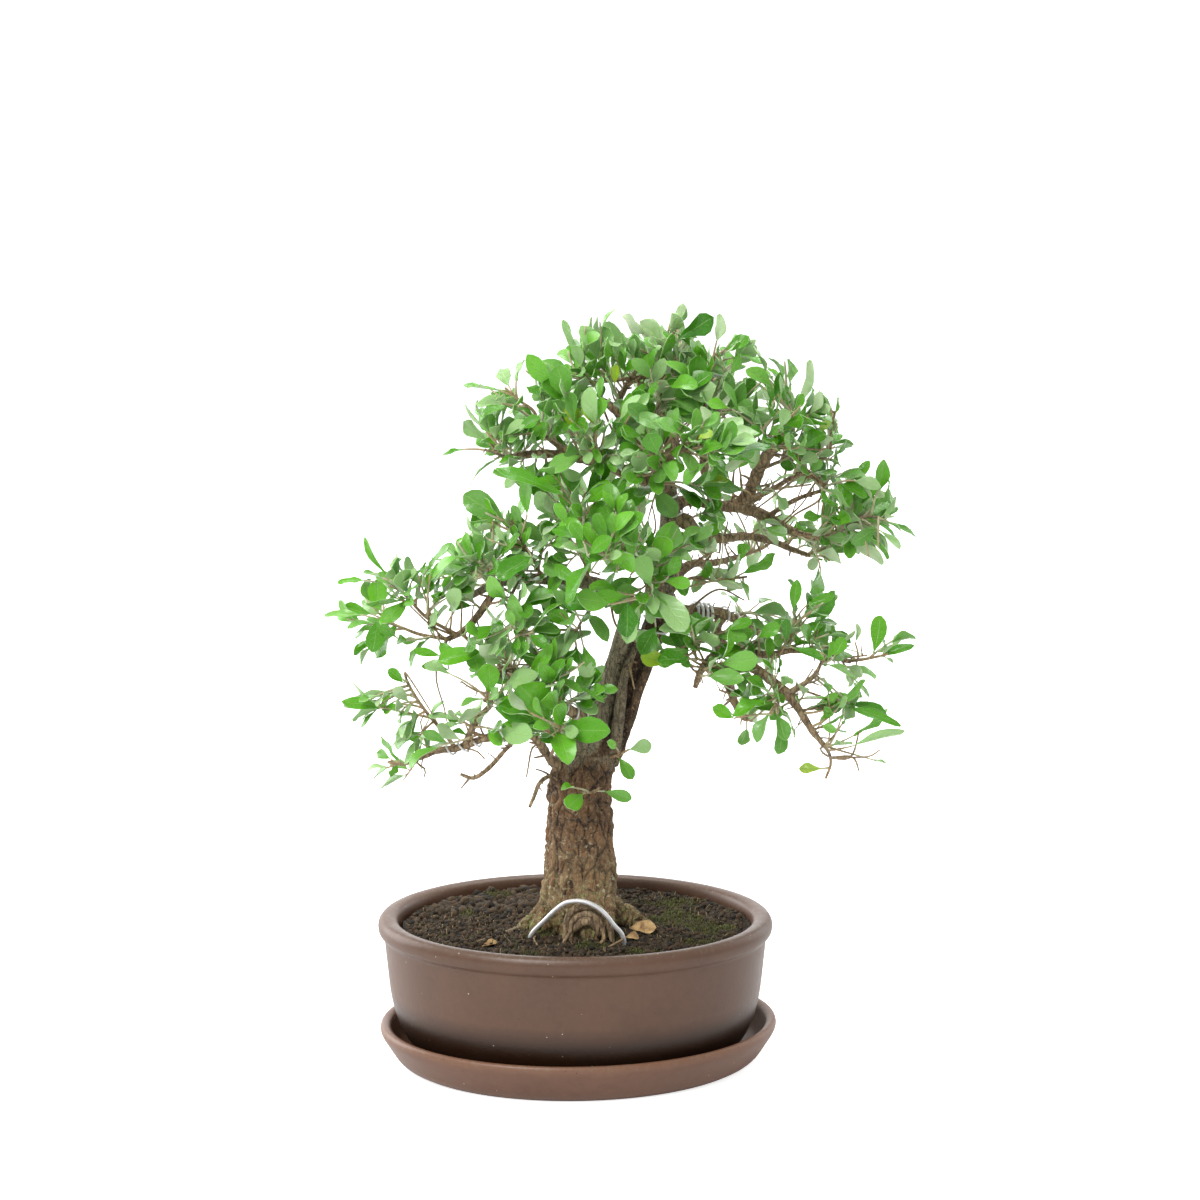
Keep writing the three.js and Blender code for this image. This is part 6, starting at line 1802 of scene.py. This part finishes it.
# How mossy the soil is at a point, from 0 to 1
def mossAt(x, y):
    most = 0
    for spotX, spotY, reach, depth in soilLook["mossSpots"]:
        away = math.hypot((x - spotX) / reach, (y - spotY) / depth)
        most = max(most, 1 - away * away)
    ragged = noise.noise(Vector((x, y, 3)) * 0.11) * 0.9 + noise.noise(Vector((x, y, 9)) * 0.3) * 0.6
    return min(max(most * 1.3 + ragged - 0.12, 0), 1) if most > -0.4 else 0


def soilSurface(x, y):
    spot = Vector((x, y, 0))
    grain = noise.noise(spot * 0.55) + 0.6 * noise.noise(spot * 0.23 + Vector((9, 0, 0)))
    return soilHeight(x, y) + grain * soilLook["grainHeight"] + soilLook["mossHeight"] * mossAt(x, y)


def makeSoil():
    top, rings = soilLook["topRadius"], soilLook["rings"]
    profile = [(top * step / rings, 90) for step in range(rings + 1)]
    bm = turned(profile + [(110, 31), (100, 15.3), (0, 15.3)], soilLook["steps"])
    moss = bm.verts.layers.float_color.new("mossCover")
    for vert in bm.verts:
        x, y = vert.co.x / millimetre, vert.co.y / millimetre
        if vert.co.z > 0.08:
            vert.co.z = soilSurface(x, y) * millimetre
            vert[moss] = (mossAt(x, y), 0, 0, 1)
    return makePiece("pottingSoil", bm, (soilMaterial,), ("soil",))


# Many copies of a small shape, each shaped by a function that gives nothing where there is no room:
# the points of the copy from those of the shape, and a tone for each
def scattered(shape, toneName, count, shapeOne):
    base = [vert.co.copy() for vert in shape.verts]
    mesh = bpy.data.meshes.new("scattered")
    tone = shape.verts.layers.float_color.new(toneName)
    bm = bmesh.new()
    made = 0
    while made < count:
        place = shapeOne()
        if place is None:
            continue
        for vert, spot in zip(shape.verts, base):
            point, vert[tone] = place(spot)
            vert.co = point * millimetre
        shape.to_mesh(mesh)
        bm.from_mesh(mesh)
        made += 1
    shape.free()
    bpy.data.meshes.remove(mesh)
    return bm


def drawnSpot(draw):
    return [(draw() * 2 - 1) * reach for reach in soilLook["scatterReach"]]


def drawnTurn(draw):
    return Matrix.Rotation(draw() * 6.28, 3, "Z")


def makeCrumbs():
    draw = seededDraw(seeds["crumbs"])

    def shapeOne():
        x, y = drawnSpot(draw)
        size = between(*soilLook["crumbSize"], draw() ** 2.2)
        turn = drawnTurn(draw) @ Matrix.Rotation(draw() * 6.28, 3, "X")
        shape = Vector((size * between(0.7, 1.4, draw()), size * between(0.6, 1.2, draw()), size * 0.7))
        colour, kind = draw(), draw()
        if kind > 1 - soilLook["sliverShare"]:  # dry slivers
            shape = Vector((0.35, between(1.5, 4.5, draw()), 0.3))
        elif x < 0 and y > 22:
            shape *= soilLook["clods"]
        if (not inPot(x, y, 2 + size) or math.hypot(x, y + 4) < soilLook["trunkClear"]
                or mossAt(x, y) > soilLook["mossClear"]):
            return None
        spot = Vector((x, y, soilSurface(x, y) + size * 0.25))

        def place(point):
            uneven = 1 + 0.5 * noise.noise(point * 1.4 + spot)
            return spot + turn @ (point * shape * uneven), (colour, kind, 0, 1)
        return place

    grain = bmesh.new()
    bmesh.ops.create_icosphere(grain, subdivisions=1, radius=1)
    bm = scattered(grain, "crumbTone", soilLook["crumbs"], shapeOne)
    return makePiece("soilCrumbs", bm, (crumbMaterial,))


# Tiny upright blades that stand together as moss
def makeMoss():
    draw = seededDraw(seeds["moss"])

    def shapeOne():
        x, y = drawnSpot(draw)
        cover = mossAt(x, y)
        height = between(*soilLook["tuftHeight"], draw()) * (0.5 + 0.5 * cover)
        width = between(*soilLook["tuftWidth"], draw())
        lean = drawnTurn(draw) @ Matrix.Rotation((draw() - 0.3) * 0.9, 3, "X")
        colour, keep = draw(), draw()
        if keep > cover or not inPot(x, y, 2.5):
            return None
        spot = Vector((x, y, soilSurface(x, y) - 0.4))

        def place(point):
            tall = point.z + 0.5
            sized = Vector((point.x * width, point.y * width, tall * height))
            return spot + lean @ sized, (colour, tall, 0, 1)
        return place

    blade = bmesh.new()
    bmesh.ops.create_cone(blade, cap_ends=True, segments=3, radius1=1, radius2=0.12, depth=1)
    bm = scattered(blade, "mossTone", soilLook["tufts"], shapeOne)
    return makePiece("mossTufts", bm, (mossMaterial,))


soil = makeSoil()
crumbs = makeCrumbs()
moss = makeMoss()
print("soil, crumbs and moss:", *(len(piece.data.polygons) for piece in (soil, crumbs, moss)))

wireLook = {
    "thickness": 2.0,
    "slack": 0.7,
    "wraps": {
        "wireTrunk": ("stemRight", 0.72, 0.79, 3),
        "wireRight": ("rightMidA", 0.31, 0.48, 4),
        "wireLeft": ("lowLeft", 0.49, 0.585, 4),
    },
    "baseThickness": 3.0,
    "basePoints": [(-32, -32, 86), (-28, -34, 94.6), (-20.8, -36.5, 102.8), (-13.7, -39.5, 110.8),
                   (-6.7, -43, 116.9), (0.3, -45.5, 118.9), (7.4, -46.5, 118), (15.8, -47.5, 113.3),
                   (20.7, -48, 108.1), (24.2, -48, 103.3), (29.1, -47.5, 97.3), (31.5, -47, 87)],
    "thin": [("stemRight", 0.41, 0.62, 4), ("lowArch", 0.12, 0.42, 3), ("rightMidA", 0.55, 0.85, 3),
             ("stemRight", 0.84, 0.96, 2), ("lowLeft", 0.64, 0.86, 3)],
    "thinThickness": 1.3,
    "thinSlack": 0.4,
    "stepsPerTurn": 6,
    "spacing": 0.9,
    "roundness": 3,
}


# Two directions square to a line at 101 places along it, carried on without twist
def squareDirections(line):
    tangents = [tangentAt(line, share) for share in sharesOf(100)]
    first = tangents[0]
    axis = min(range(3), key=lambda index: (abs(first[index]), -index))
    square = Vector([1.0 if index == axis else 0.0 for index in range(3)])
    normal = first.cross(first.cross(square).normalized())
    normals, binormals = [normal], [first.cross(normal)]
    for before, tangent in zip(tangents, tangents[1:]):
        hinge = before.cross(tangent)
        normal = normals[-1]
        if hinge.length > 1e-9:
            normal = Matrix.Rotation(before.angle(tangent), 3, hinge.normalized()) @ normal
        normals.append(normal)
        binormals.append(tangent.cross(normal))
    return normals, binormals


def windingLine(branch, low, high, turns, thickness, slack):
    line = lines[branch]
    normals, binormals = squareDirections(line)
    points = []
    for step, share in enumerate(sharesOf(turns * wireLook["stepsPerTurn"], low, high)):
        place = round(share * 100)
        turn = step / wireLook["stepsPerTurn"] * fullTurn
        reach = radiusAt(line, share) * 1.06 + thickness / 2 + slack
        spot = pointAt(line, share) + normals[place] * reach * math.cos(turn)
        spot += binormals[place] * reach * math.sin(turn)
        points.append((*spot, thickness / 2))
    return makeLine(points)


def makeWires(name, wires, *replaced):
    bm = bmesh.new()
    paths = [stemPath(line, wireLook["spacing"]) for line in wires]
    addMesh(bm, rodMesh(paths, wireLook["roundness"]), 0)
    return makePiece(name, bm, (wireMaterial,), replaced)


for name, wrap in wireLook["wraps"].items():
    makeWires(name + "Round", [windingLine(*wrap, wireLook["thickness"], wireLook["slack"])], name)
makeWires("thinWires", [windingLine(*wrap, wireLook["thinThickness"], wireLook["thinSlack"])
                        for wrap in wireLook["thin"]])
basePoints = [(*point, wireLook["baseThickness"] / 2) for point in wireLook["basePoints"]]
makeWires("wireBaseRound", [makeLine(basePoints)], "wireBase")


# Leaves that lie on the soil: x, y, heading, length, width, roll and how far it raises them
fallenLook = {
    "fallenLeaf1": (34, -23, -10, 17.5, 10, 0.85, 3.1),
    "fallenLeaf2": (31, -43, 20, 10, 6, 0.8, 1.8),
    "fallenLeaf3": (-60, -50, 35, 15, 6, 0.2, 0.6),
}


# A dry leaf with its upper face rolled towards the front, and raised so that its edge rests on the soil
def makeFallen(seed, name, x, y, heading, length, width, roll, lift):
    bm = bmesh.new()
    turn = Matrix.Rotation(math.radians(heading - 90), 4, "Z")
    rest = 0
    for step in range(9):
        spot = turn @ Vector((0, length * step / 8, 0))
        rest = max(rest, soilSurface(x + spot.x, y + spot.y))
    matrix = Matrix.Translation((x, y, rest + lift)) @ turn @ Matrix.Rotation(roll, 4, "Y")
    leaf = {"matrix": matrix, "length": length, "width": width, "arch": 0.1}
    dressLeaf(leaf, seededDraw(seed), 0.5)
    leaf["cup"], leaf["upturned"] = 0.8, False
    addLeaf(bm, leaf)
    return makePiece(name + "Curled", bm, (dryMaterial,), (name,))


for number, (name, place) in enumerate(fallenLook.items()):
    makeFallen(seeds["fallen"] + number, name, *place)
print("wires and fallen leaves made")

stageLook = {
    "floorSize": 6,
    "lights": {
        "keyLight": ((-0.9, -1.7, 1.9), 1.1, 47, (1, 0.985, 0.955)),
        "leftLight": ((-1.9, 1.0, 0.9), 2.0, 44, (1, 1, 1)),
        "rightLight": ((1.9, 1.3, 0.9), 2.0, 17, (1, 1, 1)),
        "topLight": ((0.1, 0.6, 2.1), 1.4, 30, (1, 1, 0.98)),
        "backLight": ((-0.25, 2.6, 0.45), 2.6, 30, (1, 1, 1)),
    },
    "lit": (0.03, 0, 0.25),
    "seenWorld": 1.1,
    "ambientWorld": 0.6,
    "lens": 95.6,
    "eye": (0.0151, -2.0, 0.691),
    "eyeTilt": 90 - 10.92,
}


def makeFloor():
    bm = bmesh.new()
    bmesh.ops.create_grid(bm, x_segments=1, y_segments=1, size=stageLook["floorSize"])
    floor = linked("paleFloor", meshOf("paleFloor", bm))
    floor.data.materials.append(floorMaterial)


def makeLight(name, place, size, power, colour):
    light = bpy.data.lights.new(name, "AREA")
    light.shape = "DISK"
    light.size = size
    light.energy = power
    light.color = colour
    lamp = linked(name, light)
    lamp.location = place
    lamp.rotation_euler = (Vector(stageLook["lit"]) - Vector(place)).to_track_quat("-Z", "Y").to_euler()
    lamp.visible_camera = False


makeFloor()
for name, (place, size, power, colour) in stageLook["lights"].items():
    makeLight(name, place, size, power, colour)

world = bpy.data.worlds.new("paleRoom")
world.use_nodes = True
backdrop = world.node_tree.nodes["Background"]
backdrop.inputs["Color"].default_value = (1, 1, 1, 1)
sky = Nodes(world.node_tree)
seen = sky.add("LightPath", {})["Is Camera Ray"]
strength = sky.spread(seen, 0, 1, stageLook["ambientWorld"], stageLook["seenWorld"])
sky.fill(backdrop.inputs["Strength"], strength)
bpy.context.scene.world = world
bpy.context.scene.view_settings.view_transform = "Standard"

cameraData = bpy.data.cameras.new("camera")
cameraData.sensor_width = 36
cameraData.lens = stageLook["lens"]
camera = linked("camera", cameraData)
camera.location = stageLook["eye"]
camera.rotation_euler = (math.radians(stageLook["eyeTilt"]), 0, 0)
bpy.context.scene.camera = camera

for pad, _, _ in leafPads.values():
    pad.free()
bpy.data.meshes.remove(padMesh)
